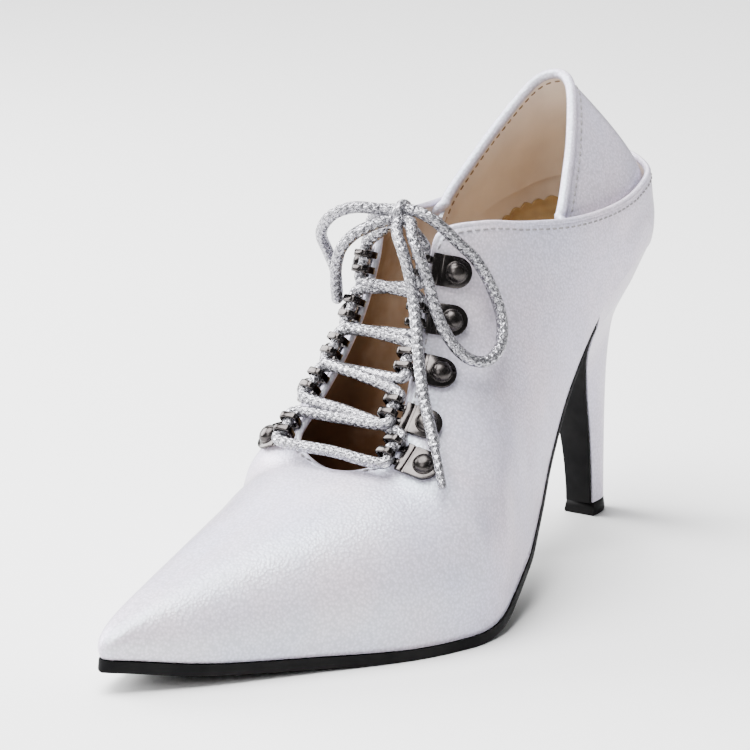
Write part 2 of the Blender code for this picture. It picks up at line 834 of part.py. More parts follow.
def make_bow(finish):
    for name, points in BOW_ROUTES.items():
        rows = [np.array((x, -fore, z)) for x, fore, z in points]
        steps = (len(rows) - 1) * BOW_STEPS_PER_POINT
        route = [spline(rows, step / BOW_STEPS_PER_POINT) for step in range(steps + 1)]
        tube(name, route, LACE_RADIUS, finish)


def main():
    clear_scene()
    white = material("white_leather", WHITE, 0.35)
    black = material("black_sole", BLACK, 0.5)
    lining = material("tan_lining", TAN, 0.6)
    metal = material("gunmetal", GUNMETAL, 0.25, metallic=1.0)
    cord = material("silver_cord", SILVER, 0.4, metallic=0.6)
    make_upper(white)
    make_outsole(black)
    make_heel(white)
    make_top_lift(black)
    make_insole(lining)
    make_heel_tab(white)
    make_tab_binding(white)
    make_guides(metal)
    make_lace_bars(cord)
    make_knot(cord)
    make_bow(cord)


SHOE = bpy.data.collections.new("lace_up_pump")
CUTTERS = bpy.data.collections.new("helpers")
for group in (SHOE, CUTTERS):
    bpy.context.scene.collection.children.link(group)
main()
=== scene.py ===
"""Looks of the pointed lace-up pump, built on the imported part's frame.

Tables are in millimetres: "fore" is the distance forward of the heel, "out" and "inn" are the x of the outer
and inner side of the foot. The toe points along -Y and the outer side of the left foot is +X.
"""
import math

import bmesh
import bpy
import numpy as np
from mathutils import Matrix, Vector


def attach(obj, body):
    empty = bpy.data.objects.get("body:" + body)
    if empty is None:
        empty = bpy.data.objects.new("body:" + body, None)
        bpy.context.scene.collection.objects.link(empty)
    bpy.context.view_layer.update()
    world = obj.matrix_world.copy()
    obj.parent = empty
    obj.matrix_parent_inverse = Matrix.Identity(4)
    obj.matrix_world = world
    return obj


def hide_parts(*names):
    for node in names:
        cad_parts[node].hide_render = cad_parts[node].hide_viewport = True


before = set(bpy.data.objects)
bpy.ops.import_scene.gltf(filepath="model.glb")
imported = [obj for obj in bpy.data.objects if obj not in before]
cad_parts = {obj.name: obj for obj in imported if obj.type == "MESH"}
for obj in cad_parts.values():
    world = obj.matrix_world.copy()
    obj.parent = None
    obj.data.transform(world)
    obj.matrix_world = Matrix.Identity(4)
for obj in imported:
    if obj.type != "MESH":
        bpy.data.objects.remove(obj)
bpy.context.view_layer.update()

# Units, directions, the gap between pieces and the steps that slopes and paths are taken in
MM = 0.001
GAP = 0.3
ORIGIN_FORE = 18.85
WELD = 0.00001
UP = np.array((0.0, 0.0, 1.0))
SIDEWAYS = np.array((1.0, 0.0, 0.0))
STEEP = 0.9
WALL_STEP = 0.02
PROFILE_STEP = 0.05
SPLINE_STEPS = 24
PATH_STEP = 0.5

# Angles past which an edge shows as a corner
SHARP_DEG = 50.0
SHELL_SHARP_DEG = 80.0
SOLE_SHARP_DEG = 40.0
TUBE_SHARP_DEG = 60.0
MERGED_SHARP_DEG = 45.0
RIM_DEG = 40.0

# Walls, insole, sole and the collar's roll
UPPER_WALL = 1.8
TAB_WALL = 1.8
TAB_BINDING_RADIUS = 1.5
INSOLE_THICKNESS = 2.0
INSOLE_FIRST_ROW = 0.8
INSOLE_DISH = 0.8
INSOLE_ACROSS = 12
SOLE_THICKNESS_BALL = 3.0
SOLE_THICKNESS_WAIST = 1.3
SOLE_EDGE_BALL = 0.5
SOLE_ROUND = 0.6
SOLE_BALL_ROW = 6.0
ROUND_STEPS = 4
ROUND_SHARE = 0.3
ROLL_RADIUS = 1.0
ROLL_SIDES = 12
ROLL_REACH = 6.0

# The feather line, where the upper meets the sole, from the toe tip to the middle of the heel's back
FEATHER = [
    # fore, out, inn, z
    (232.8, -15.0, -15.0, 9.4),
    (227.0, -9.4, -19.4, 8.4),
    (212.0, 3.4, -22.6, 6.0),
    (190.0, 18.8, -27.0, 4.4),
    (168.5, 33.6, -32.0, 3.2),
    (152.0, 40.8, -36.0, 3.2),
    (142.0, 42.4, -36.0, 3.6),
    (134.0, 41.8, -34.4, 5.6),
    (126.0, 39.8, -31.5, 8.8),
    (118.5, 37.8, -28.2, 12.2),
    (112.0, 36.0, -25.6, 15.4),
    (106.0, 33.8, -23.3, 19.0),
    (97.0, 30.4, -20.3, 25.0),
    (83.5, 25.4, -17.4, 35.6),
    (66.5, 21.5, -17.0, 51.6),
    (48.5, 21.0, -19.2, 69.4),
    (30.5, 22.0, -21.6, 81.0),
    (14.5, 16.8, -16.6, 84.7),
    (5.5, 0.0, 0.0, 86.0),
]

# The upper's top line: the vamp ridge, then the throat slot's edge, then the collar
TOP = [
    # fore, out, inn, z
    (228.5, -14.6, -14.6, 17.2),
    (220.0, -13.4, -13.4, 20.8),
    (205.0, -11.0, -11.0, 26.4),
    (187.0, -7.8, -7.8, 32.8),
    (167.0, -3.6, -3.6, 39.2),
    (153.0, 0.5, 0.5, 43.1),
    (148.8, 14.2, -14.4, 47.2),
    (141.0, 13.4, -14.0, 56.6),
    (131.5, 10.6, -12.0, 68.6),
    (123.8, 8.8, -10.6, 81.0),
    (119.3, 7.6, -9.6, 93.5),
    (115.2, 9.0, -10.6, 102.2),
    (103.0, 15.2, -15.4, 103.5),
    (88.0, 19.6, -19.6, 101.4),
    (70.0, 23.8, -23.8, 99.9),
    (50.0, 25.0, -25.0, 100.3),
    (32.0, 23.0, -23.0, 102.6),
    (16.5, 17.0, -17.0, 106.4),
    (6.6, 0.0, 0.0, 108.8),
]
SLOT_ROW = 5
LAST_ROW = len(FEATHER) - 1
RING = 2 * LAST_ROW

# How each section's wall leaves the feather line and arrives at the top line
WALL_SHAPE = [
    # lean out at the foot (deg), fall below level at the top (deg), pull at the foot, pull at the top
    (30.0, 30.0, 0.45, 0.45),
    (20.0, 8.0, 0.42, 0.45),
    (13.0, 0.0, 0.42, 0.46),
    (10.0, 0.0, 0.44, 0.48),
    (8.0, 0.0, 0.45, 0.50),
    (8.0, -3.0, 0.45, 0.52),
    (8.0, 8.0, 0.45, 0.50),
    (6.0, 20.0, 0.42, 0.46),
    (4.0, 30.0, 0.40, 0.42),
    (0.0, 40.0, 0.38, 0.38),
    (-2.0, 50.0, 0.36, 0.36),
    (-3.0, 60.0, 0.35, 0.35),
    (-3.0, 70.0, 0.35, 0.35),
    (0.0, 78.0, 0.35, 0.35),
    (4.0, 86.0, 0.35, 0.35),
    (10.0, 88.0, 0.35, 0.35),
    (14.0, 86.0, 0.35, 0.35),
    (14.0, 82.0, 0.35, 0.35),
    (14.0, 78.0, 0.35, 0.35),
]
COLUMNS_PER_SECTION = 8
UPPER_ROWS = 40

# Soft creases in the upper: where each starts and ends on the wall, and its half width and depth
CREASES = [
    # ring row, height share, ring row, height share, half width, depth (negative is a ridge)
    (6.3, 0.16, 6.9, 0.62, 3.4, 0.35),
    (7.1, 0.12, 7.7, 0.58, 3.0, -0.25),
    (8.0, 0.08, 8.6, 0.42, 3.2, 0.30),
    (29.6, 0.14, 29.0, 0.60, 3.2, 0.30),
    (28.4, 0.10, 27.8, 0.48, 3.0, 0.28),
    (15.0, 0.62, 17.4, 0.58, 3.6, 0.25),
    (21.0, 0.62, 18.6, 0.58, 3.6, 0.25),
]
CREASE_STEPS = 24
CREASE_FADE = 0.7

# The lapped seam on the inner side, from the slot between the two lowest guides down to the waist
INNER_SEAM = [
    # row on the inner side, height share
    (6.75, 0.97),
    (7.5, 0.78),
    (8.6, 0.52),
    (9.8, 0.26),
    (10.9, 0.02),
]
SEAM_RADIUS = 0.45

# The covered heel below the seat, as inclined D-shaped sections from the seat to the top lift
HEEL_SECTIONS = [
    # z at the breast, z at the back, fore of the breast, fore of the back, half width, squareness
    (67.4, 85.7, 49.2, 5.7, 21.0, 2.7),
    (60.0, 77.5, 44.2, 8.0, 15.6, 2.6),
    (54.0, 69.5, 40.0, 11.2, 11.6, 2.5),
    (48.0, 61.0, 36.0, 13.2, 8.8, 2.4),
    (38.0, 48.0, 31.6, 14.2, 6.6, 2.4),
    (28.0, 33.0, 28.0, 14.2, 5.4, 2.4),
    (18.0, 20.0, 25.8, 13.9, 4.8, 2.4),
    (9.0, 9.5, 24.6, 13.6, 4.5, 2.4),
    (4.1, 4.1, 24.2, 13.5, 4.5, 2.4),
]
HEEL_BREAST_ROW = 14.95
HEEL_OUTLINE_STEPS = 24
HEEL_STEPS_PER_ROW = 6
HEEL_STEPS = (len(HEEL_SECTIONS) - 1) * HEEL_STEPS_PER_ROW
SEAT_INSET = 0.45
TOP_LIFT_RINGS = [
    # z, flare past the heel
    (3.8, -0.1),
    (3.7, 0.05),
    (2.2, 0.3),
    (0.8, 0.5),
    (0.2, 0.42),
    (0.0, 0.2),
]

# The sole's flap down the heel's breast
FLAP_THICKNESS = 0.9
FLAP_ROUND = 0.3
FLAP_CORNER = [
    # fore, z, half width where the waist turns down into the flap
    (50.6, 67.0, 20.4),
    (49.7, 66.2, 20.0),
    (48.6, 64.6, 19.0),
]

# The heel tab's free edge, from the middle of the back to the outer corner, and its seat in the quarter
TAB_EDGE = [
    # x, fore, z, ring row that carries it
    (0.0, 40.0, 134.6, 18.0),
    (4.8, 41.9, 133.2, 17.3),
    (8.5, 45.8, 128.6, 16.6),
    (13.5, 54.5, 118.0, 15.7),
    (16.7, 61.9, 109.3, 15.0),
    (19.0, 67.9, 102.2, 14.5),
    (19.8, 72.0, 96.4, 14.1),
]
TAB_SEAT_HEIGHT = 0.72
TAB_START_HEIGHT = 0.95
TAB_FULLNESS = 0.22
TAB_TOP_PULL = 0.5
TAB_TIP_SHARE = 0.7
TAB_THIN_FROM = 0.7
TAB_EDGE_WALL = 1.0
TAB_ROWS = 26
TAB_STEPS_PER_ROW = 8

# The piping covers these rows of the tab's edge and ends in the collar at a ring row, height share and depth
PIPING_ROWS = 5.5
PIPING_END = (13.9, 0.92, 0.9)
PIPING_TAPER = 4.0
PIPING_TIP = 0.5

# Two-loop lace guides: a plate with a domed rivet and two curled arms that reach over the slot
GUIDE_PLACES = {
    # number: ring row, inset from the slot's edge and turn (deg), on the outer side and on the inner side
    1: ((9.90, 4.2, 0.0), (9.83, 5.0, 0.0)),
    2: ((8.92, 4.4, -4.0), (8.83, 4.4, 0.0)),
    3: ((7.94, 4.2, 2.0), (8.02, 5.0, 0.0)),
    4: ((6.96, 3.4, 8.0), (7.30, 6.4, 0.0)),
    5: ((6.18, 6.6, -6.0), (6.26, 7.6, 0.0)),
}
NEAR_EDGE = 0.95
SEARCH_ROUNDS = 8
SEARCH_STEP = 0.01
SEARCH_LOW = 0.05
GUIDE_LIFT = 0.4
PLATE_WIDTH = 8.6
PLATE_THICKNESS = 0.9
PLATE_BASE = 0.5
PLATE_SINK = 0.1
PLATE_FRONT = 3.2
PLATE_BEVEL = 0.18
GROOVE_BACK = 0.5
GROOVE_FRONT = 1.2
RIVET_X = -3.6
RIVET_PROFILE = [
    # radius, height above the plate
    (3.1, 0.0),
    (3.1, 0.3),
    (2.95, 0.45),
    (2.8, 0.5),
    (2.7, 0.95),
    (2.35, 1.45),
    (1.8, 1.85),
    (1.0, 2.15),
    (0.0, 2.25),
]
LOOP_X = 6.2
LOOP_Z = 2.3
LOOP_INNER = 2.0
LOOP_OUTER = 2.7
ARM_WIDTH = 1.9
ARM_Y = 2.1
ARM_TAIL = 1.2
ARM_START_DEG = -105.0
ARM_END_DEG = 180.0
ARM_BEVEL = 0.28
LOOP_SQUARENESS = 4.0
LOOP_LEAN_DEG = 25.0
ROUND_SIDES = 24

# The round cord lace: its run through the guides, then the knot, loops and ends of the bow
LACE_RADIUS = 1.6
LACE_SIDES = 14
LACE_CLEAR = 5.0
LACE_CROSS_LIFT = 1.2
BAR_MIDDLE = (0.0, 154.0, 48.0)
KNOT_CENTRE = (1.0, 122.5, 107.0)
KNOT_WRAP = 2.3
KNOT_STEPS = 48
KNOT_TILT_DEG = 14.0
KNOT_STRANDS = [
    # kind of cord, its point that lies at the knot, height over the knot's middle
    ("loop", 0, 1.0),
    ("loop", -1, -1.2),
    ("end", 0, 0.0),
]
BOW_ROUTES = {
    # x, fore, z along each free stretch, from the knot outwards
    "lace_loop_outer": [
        (6.2, 123.0, 108.2),
        (9.4, 122.9, 107.1),
        (12.6, 121.3, 104.7),
        (15.6, 117.9, 100.2),
        (18.6, 113.0, 94.6),
        (21.4, 109.4, 86.8),
        (24.2, 108.8, 78.8),
        (26.6, 113.0, 72.4),
        (26.9, 120.0, 69.4),
        (24.4, 125.6, 70.8),
        (20.4, 128.2, 75.6),
        (16.5, 129.0, 83.0),
        (14.1, 129.4, 90.8),
        (11.6, 130.4, 98.6),
        (8.7, 128.8, 102.8),
        (6.2, 125.6, 105.4),
    ],
    "lace_end_outer": [
        (2.6, 127.2, 104.2),
        (4.6, 129.7, 102.2),
        (7.2, 131.2, 98.8),
        (9.6, 131.6, 92.4),
        (11.4, 132.2, 85.0),
        (14.0, 134.8, 78.2),
        (16.6, 137.5, 70.8),
        (19.8, 140.4, 63.4),
        (23.5, 143.1, 56.7),
        (27.0, 146.2, 52.2),
        (30.2, 149.0, 47.4),
        (32.8, 150.9, 42.2),
    ],
    "lace_loop_inner": [
        (-3.7, 123.8, 107.6),
        (-10.0, 127.4, 108.2),
        (-15.2, 129.2, 106.6),
        (-20.0, 128.0, 103.0),
        (-23.6, 124.6, 98.6),
        (-24.7, 120.2, 93.6),
        (-24.2, 117.3, 88.0),
        (-22.4, 118.9, 83.2),
        (-19.4, 123.2, 81.4),
        (-16.5, 127.6, 83.6),
        (-15.0, 130.2, 88.4),
        (-13.6, 131.7, 93.4),
        (-11.4, 132.2, 98.2),
        (-8.0, 130.4, 102.0),
        (-4.0, 126.4, 104.4),
    ],
    "lace_end_inner": [
        (-3.0, 120.0, 106.4),
        (-8.8, 117.0, 106.2),
        (-14.5, 113.0, 102.6),
        (-18.6, 109.6, 96.4),
        (-21.0, 107.6, 87.0),
        (-23.6, 107.6, 77.0),
        (-26.2, 109.6, 67.4),
        (-28.4, 112.4, 59.0),
        (-30.0, 114.6, 52.0),
    ],
}
BRAID_STRANDS = 8.0
BRAID_PITCH = 2.2
FLAKE_LENGTH = 0.4
FLAKES_ROUND = 44.0
FLAKE_LEAN = 6.0
AGLET_LENGTH = 12.0
AGLET_RADIUS = 1.15
AGLET_NOSE = 0.75

# Stitches: length, pitch and thread radius, and each row's distance from its edge
STITCH_LENGTH = 1.9
STITCH_PITCH = 2.6
STITCH_RADIUS = 0.3
STITCH_SIDES = 6
STITCH_PROFILE = [
    # place along the stitch, share of the thread's radius, share it stands out by
    (-1.0, 0.35, -0.5),
    (-0.7, 0.9, 0.0),
    (0.0, 1.0, 0.1),
    (0.7, 0.9, 0.0),
    (1.0, 0.35, -0.5),
]
STITCH_SAMPLES = 900
COLLAR_STITCH = 2.6
COLLAR_STITCH_START = 0.35
TAB_STITCH_OUTSIDE = 2.6
TAB_STITCH_LINING = 2.3

# The sock over the heel end of the insole; its pinked edges turn up the walls
SOCK_CLIMB = [
    # ring row, height of the sock's edge above the insole
    (12.6, 1.0),
    (14.0, 3.6),
    (15.3, 7.0),
    (16.0, 6.2),
    (16.6, 5.4),
    (17.2, 5.6),
    (18.0, 6.0),
]
SOCK_LAST_ROW = 17.96
SOCK_THICKNESS = 0.5
SOCK_CLEAR = 0.1
SOCK_BEND = 0.16
SOCK_TURN = 0.5
SOCK_ACROSS = 48
SOCK_ALONG = 264
SOCK_SCALLOPS = 19
SOCK_PINK_DEPTH = 1.1

# The camera stands where the photograph's did, seen from the pair's middle, and faces this shoe's middle
CAMERA_TURN_DEG = 35.2
CAMERA_RISE_DEG = 13.5
CAMERA_DISTANCE = 0.92
CAMERA_LENS = 161.8
CAMERA_NEAR = 0.01
SENSOR_WIDTH = 36.0
PAIR_MIDDLE = (-26.9, 130.0, 63.0)
SHOE_MIDDLE = (-10.3, 118.3, 60.1)

# Soft studio lights round the shoe
LIGHTS = [
    # name, place (m), point it faces (m), diameter (m), power (W)
    ("overhead", (-0.22, -0.42, 1.20), (0.0, -0.09, 0.05), 1.2, 66.0),
    ("left", (-1.08, -0.20, 0.56), (0.0, -0.09, 0.05), 0.9, 38.0),
    ("front", (0.15, -1.40, 0.80), (0.0, -0.09, 0.05), 0.8, 10.0),
    ("back", (0.30, 1.20, 0.60), (0.0, -0.09, 0.05), 0.8, 2.0),
    ("backdrop", (-1.20, 1.70, 1.60), (-1.20, 1.90, 0.0), 1.8, 70.0),
]
WORLD_STRENGTH = 0.20
FLOOR_RADIUS = 4.0
FLOOR_SIDES = 96


def table_point(x, fore, z):
    return np.array((x, -fore, z))


def side_rows(table):
    """Both sides of a table as one ring of points: toe, outer side, heel back, inner side."""
    outer = [table_point(out, fore, z) for fore, out, inn, z in table]
    inner = [table_point(inn, fore, z) for fore, out, inn, z in table]
    return outer + inner[-2:0:-1]


FEATHER_RING = side_rows(FEATHER)
RIDGE = side_rows(TOP)[: SLOT_ROW + 1]
OPENING_RING = side_rows(TOP[SLOT_ROW:])
SHAPE_ROWS = np.array(WALL_SHAPE)
PATH_ROWS = np.array([(-fore, z) for fore, out, inn, z in FEATHER])
HEEL_ROWS = np.array(HEEL_SECTIONS)
TAB_SIDE = [np.array((x, -fore, z, ring)) for x, fore, z, ring in TAB_EDGE]
TAB_RING = [row * np.array((-1, 1, 1, -1)) + np.array((0, 0, 0, RING)) for row in TAB_SIDE[:0:-1]] + TAB_SIDE
KNOT = table_point(*KNOT_CENTRE)


def spline(rows, place, closed=False):
    """Smooth value at a fractional row number; a closed list runs round into itself."""
    count = len(rows)
    first = math.floor(place)
    if not closed:
        first = min(max(first, 0), count - 2)
    a, b, c, d = (rows[(first + step) % count] for step in (-1, 0, 1, 2))
    if not closed and first == 0:
        a = 2 * b - c
    if not closed and first == count - 2:
        d = 2 * c - b
    t = place - first
    return b + 0.5 * t * (c - a + t * (2 * a - 5 * b + 4 * c - d + t * (3 * (b - c) + d - a)))


def unit(vectors):
    return vectors / np.linalg.norm(vectors, axis=-1, keepdims=True)


def mirrored(place):
    """Section number of a place on the ring, counted from the toe on either side."""
    place = place % RING
    return min(place, RING - place)


def feather(place):
    return spline(FEATHER_RING, place, closed=True)


def outward(place):
    """Level direction that points out of the feather line."""
    along = feather(place + WALL_STEP) - feather(place - WALL_STEP)
    return unit(np.array((along[1], -along[0], 0.0)))


def top_line(place):
    section = mirrored(place)
    if section <= SLOT_ROW:
        return spline(RIDGE, section)
    return spline(OPENING_RING, place % RING - SLOT_ROW, closed=True)


def wall_handles(place):
    """The four Bezier points of the wall at a ring place, from the feather line to the top line."""
    low = feather(place)
    top = top_line(place)
    out = outward(place)
    lean, fall, pull_low, pull_top = spline(SHAPE_ROWS, mirrored(place))
    reach = np.linalg.norm(top - low)
    rise = UP * math.cos(math.radians(lean)) + out * math.sin(math.radians(lean))
    drop = out * math.cos(math.radians(fall)) - UP * math.sin(math.radians(fall))
    return low, low + rise * reach * pull_low, top + drop * reach * pull_top, top


def bezier(handles, t):
    """Point or points of a Bezier curve at the shares t."""
    t = np.asarray(t, float)[..., None]
    k = 1 - t
    a, b, c, d = handles
    return k**3 * a + 3 * k * k * t * b + 3 * k * t * t * c + t**3 * d


def wall(place, height):
    """Point on the upper's outer face; height runs from 0 at the feather line to 1 at the top line."""
    return bezier(wall_handles(place), height)


def wall_normal(place, height):
    along = wall(place + WALL_STEP, height) - wall(place - WALL_STEP, height)
    upward = wall(place, min(height + WALL_STEP, 1)) - wall(place, max(height - WALL_STEP, 0))
    return unit(np.cross(along, upward))


def below_edge(place, distance):
    """Height on the wall that lies a distance below the top line."""
    low, low_handle, top_handle, top = wall_handles(place)
    return 1 - distance / (3 * np.linalg.norm(top - top_handle))


def inside_wall(place, height, depth):
    return wall(place, height) - wall_normal(place, height) * depth


def world_points(points):
    """Millimetre points of the tables as metres in the part's frame."""
    return (np.asarray(points, float) + np.array((0.0, ORIGIN_FORE, 0.0))) * MM


def shade(mesh, sharp_deg):
    mesh.shade_smooth()
    mesh.set_sharp_from_angle(angle=math.radians(sharp_deg))


def make_mesh(points, faces, sharp_deg=SHARP_DEG, weld=True, closed=True):
    """Smooth mesh from points in metres, welded where they meet; a closed one is turned outwards."""
    mesh = bpy.data.meshes.new("mesh")
    mesh.from_pydata(points.tolist(), [], faces)
    work = bmesh.new()
    work.from_mesh(mesh)
    if weld:
        bmesh.ops.remove_doubles(work, verts=work.verts, dist=WELD)
        bmesh.ops.dissolve_degenerate(work, edges=work.edges, dist=WELD)
    if closed:
        bmesh.ops.recalc_face_normals(work, faces=work.faces)
    work.to_mesh(mesh)
    work.free()
    shade(mesh, sharp_deg)
    return mesh


def put(name, data):
    """New object in the scene."""
    made = bpy.data.objects.new(name, data)
    bpy.context.scene.collection.objects.link(made)
    return made


def add_piece(name, mesh, finishes, slot, *nodes):
    """Puts a mesh in the scene as a piece of the shoe that stands for the named nodes."""
    mesh.name = name
    for finish in finishes:
        mesh.materials.append(finish)
    piece = put(name, mesh)
    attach(piece, "root")
    if nodes:
        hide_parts(*nodes)
    return piece


def thicken(piece, thickness, **settings):
    """Gives a sheet its wall, behind the modelled face."""
    solid = piece.modifiers.new("wall", "SOLIDIFY")
    solid.thickness = thickness * MM
    solid.offset = -1.0
    for name, value in settings.items():
        setattr(solid, name, value)


def grid_faces(columns, rows, loop_columns=False, loop_rows=False):
    """Quads of a grid of columns, each with the same number of rows."""
    index = np.arange(columns * rows).reshape(columns, rows)
    if loop_columns:
        index = np.vstack((index, index[:1]))
    if loop_rows:
        index = np.hstack((index, index[:, :1]))
    corners = (index[:-1, :-1], index[1:, :-1], index[1:, 1:], index[:-1, 1:])
    return np.stack(corners, axis=-1).reshape(-1, 4).tolist()


def loft_faces(sections, size, closed=False):
    """Quads between closed rings, with a flat face at each end unless the rings run in a loop."""
    faces = grid_faces(sections, size, closed, True)
    if not closed:
        faces += [list(range(size)), list(range((sections - 1) * size, sections * size))]
    return faces


def loft(sections, sharp_deg=SHARP_DEG):
    """Closed mesh through rings of points with the same count."""
    points = world_points(np.concatenate(sections))
    return make_mesh(points, loft_faces(len(sections), len(sections[0])), sharp_deg)


def sheet(outer, inner):
    """Closed sheet between two grids of columns and rows; its inner face has the second material."""
    columns, rows = outer.shape[:2]
    size = columns * rows
    front = grid_faces(columns, rows)
    back = [[corner + size for corner in reversed(face)] for face in front]
    index = np.arange(size).reshape(columns, rows)
    border = np.concatenate((index[:, 0], index[-1, 1:], index[-2::-1, -1], index[0, -2:0:-1])).tolist()
    rim = [[there, here, here + size, there + size] for here, there in zip(border, border[1:] + border[:1])]
    points = world_points(np.concatenate((outer, inner)).reshape(-1, 3))
    mesh = make_mesh(points, front + back + rim, weld=False)
    for polygon in mesh.polygons[len(front) : 2 * len(front)]:
        polygon.material_index = 1
    return mesh


def running_length(points):
    return np.concatenate(([0.0], np.cumsum(np.linalg.norm(np.diff(points, axis=0), axis=1))))


def at_length(rows, length, distance):
    """Row or rows interpolated at distances along a line whose running length is given."""
    return np.stack([np.interp(distance, length, column) for column in rows.T], axis=-1)


def smooth_path(points):
    """Evenly stepped points along a smooth curve through the given ones."""
    places = np.linspace(0, len(points) - 1, len(points) * SPLINE_STEPS)
    fine = np.array([spline(points, place) for place in places])
    length = running_length(fine)
    return at_length(fine, length, np.linspace(0, length[-1], max(3, int(length[-1] / PATH_STEP) + 1)))


def path_frames(path, closed):
    """Two directions square to a path at each of its points, carried along without twist."""
    if closed:
        along = unit(np.roll(path, -1, axis=0) - np.roll(path, 1, axis=0))
    else:
        along = unit(np.gradient(path, axis=0))
    side = np.cross(along[0], UP if abs(along[0][2]) < STEEP else SIDEWAYS)
    sides = []
    for direction in along:
        side = unit(side - direction * np.dot(side, direction))
        sides.append(side)
    return np.array(sides), np.cross(along, sides)


def tube(path, radius, sides, closed=False):
    """Tube along a path, with the length in millimetres and the turn kept as UV for its weave."""
    path = np.asarray(path, float)
    one, two = path_frames(path, closed)
    radii = np.broadcast_to(radius, len(path))[:, None, None]
    turns = np.linspace(0, 2 * math.pi, sides, endpoint=False)[None, :, None]
    rings = path[:, None] + radii * np.cos(turns) * one[:, None] + radii * np.sin(turns) * two[:, None]
    faces = loft_faces(len(path), sides, closed)
    mesh = make_mesh(world_points(rings.reshape(-1, 3)), faces, TUBE_SHARP_DEG, weld=False)
    length = running_length(path)
    layer = mesh.uv_layers.new(name="UVMap")
    for polygon in mesh.polygons:
        corners = [mesh.loops[loop].vertex_index for loop in polygon.loop_indices]
        wraps = any(corner % sides == sides - 1 for corner in corners)
        for loop, corner in zip(polygon.loop_indices, corners):
            turn = corner % sides
            if wraps and turn == 0:
                turn = sides
            layer.data[loop].uv = (length[corner // sides], turn / sides)
    return mesh


def merged(meshes):
    """One mesh from several, kept as they are."""
    work = bmesh.new()
    for mesh in meshes:
        work.from_mesh(mesh)
    result = bpy.data.meshes.new("merged")
    work.to_mesh(result)
    work.free()
    for mesh in meshes:
        bpy.data.meshes.remove(mesh)
    shade(result, MERGED_SHARP_DEG)
    return result


class Finish:
    """A Principled material with helpers for its procedural inputs."""

    def __init__(self, name, roughness, metallic=0.0):
        self.material = bpy.data.materials.new(name)
        self.material.use_nodes = True
        self.tree = self.material.node_tree
        self.shader = self.tree.nodes["Principled BSDF"]
        self.place = self.node("TexCoord", "Object")
        self.set(Roughness=roughness, Metallic=metallic)

    def feed(self, socket, value):
        """Links another node's output to a socket, or sets the socket's own value."""
        if isinstance(value, bpy.types.NodeSocket):
            self.tree.links.new(value, socket)
        else:
            socket.default_value = value

    def set(self, **inputs):
        for name, value in inputs.items():
            self.feed(self.shader.inputs[name.replace("_", " ")], value)

    def source(self, name):
        """What is linked to one of the shader's inputs."""
        return self.shader.inputs[name].links[0].from_socket

    def node(self, kind, output, *values, operation=None, **inputs):
        """Output of a new node whose inputs are fed in order, or by name."""
        node = self.tree.nodes.new("ShaderNode" + kind)
        if operation:
            node.operation = operation
        for socket, value in zip(node.inputs, values):
            self.feed(socket, value)
        for name, value in inputs.items():
            self.feed(node.inputs[name], value)
        return node.outputs[output]

    def noise(self, size, detail=2.0):
        return self.node("TexNoise", "Fac", Vector=self.place, Scale=1 / (size * MM), Detail=detail)

    def cells(self, size, output="Distance", place=None):
        return self.node("TexVoronoi", output, Vector=place or self.place, Scale=1 / (size * MM))

    def spread(self, value, low, high, to_low, to_high):
        return self.node("MapRange", "Result", value, low, high, to_low, to_high)

    def maths(self, kind, *values):
        return self.node("Math", "Value", *values, operation=kind)

    def vectors(self, kind, *values):
        return self.node("VectorMath", "Vector", *values, operation=kind)

    def axis(self, letter, place=None):
        """One coordinate of a place."""
        return self.node("SeparateXYZ", letter, place or self.place)

    def patchy(self, size, detail, low, high):
        """Roughness that wanders between two values."""
        self.set(Roughness=self.spread(self.noise(size, detail), 0.3, 0.7, low, high))

    def colours(self, value, *stops):
        """Base colour from a ramp through (share, colour) stops."""
        node = self.tree.nodes.new("ShaderNodeValToRGB")
        ramp = node.color_ramp
        while len(ramp.elements) < len(stops):
            ramp.elements.new(0.5)
        for element, (share, colour) in zip(ramp.elements, stops):
            element.position = share
            element.color = (*colour, 1.0)
        self.feed(node.inputs["Fac"], value)
        self.set(Base_Color=node.outputs["Color"])

    def darken(self, amount):
        """Multiplies the base colour by a grey value."""
        self.set(Base_Color=self.vectors("MULTIPLY", self.source("Base Color"), amount))

    def bump(self, *heights):
        """Stacked bumps, each a height, its depth in millimetres and its strength."""
        below = {}
        for height, depth, strength in heights:
            below.update(Height=height, Distance=depth * MM, Strength=strength)
            below = {"Normal": self.node("Bump", "Normal", **below)}
        self.set(**below)

    def flakes(self, colours, tilt):
        """Turns each coloured cell's surface its own way, as glitter lies."""
        centred = self.vectors("SUBTRACT", colours, (0.5, 0.5, 0.5))
        tilted = self.vectors("MULTIPLY", centred, (tilt, tilt, tilt))
        self.set(Normal=self.vectors("NORMALIZE", self.vectors("ADD", self.source("Normal"), tilted)))


def pearl_leather(name):
    """White pearlised leather: a fine grain, faint pink and blue tints and a thin-film lustre."""
    made = Finish(name, 0.4, metallic=0.12)
    made.set(Coat_Weight=0.25, Coat_Roughness=0.22, Specular_IOR_Level=0.6)
    made.set(Thin_Film_Thickness=380.0, Thin_Film_IOR=1.7)
    made.colours(made.noise(30.0, 3.0), (0.35, (0.60, 0.575, 0.70)), (0.5, (0.635, 0.59, 0.69)),
                 (0.65, (0.675, 0.60, 0.68)))
    made.patchy(9.0, 2.0, 0.34, 0.46)
    grain = made.cells(0.8)
    made.darken(made.spread(grain, 0.1, 0.7, 1.10, 0.80))
    made.bump((grain, 0.12, 0.9), (made.noise(0.35), 0.04, 0.4), (made.noise(6.0, 3.0), 0.12, 0.12))
    return made.material


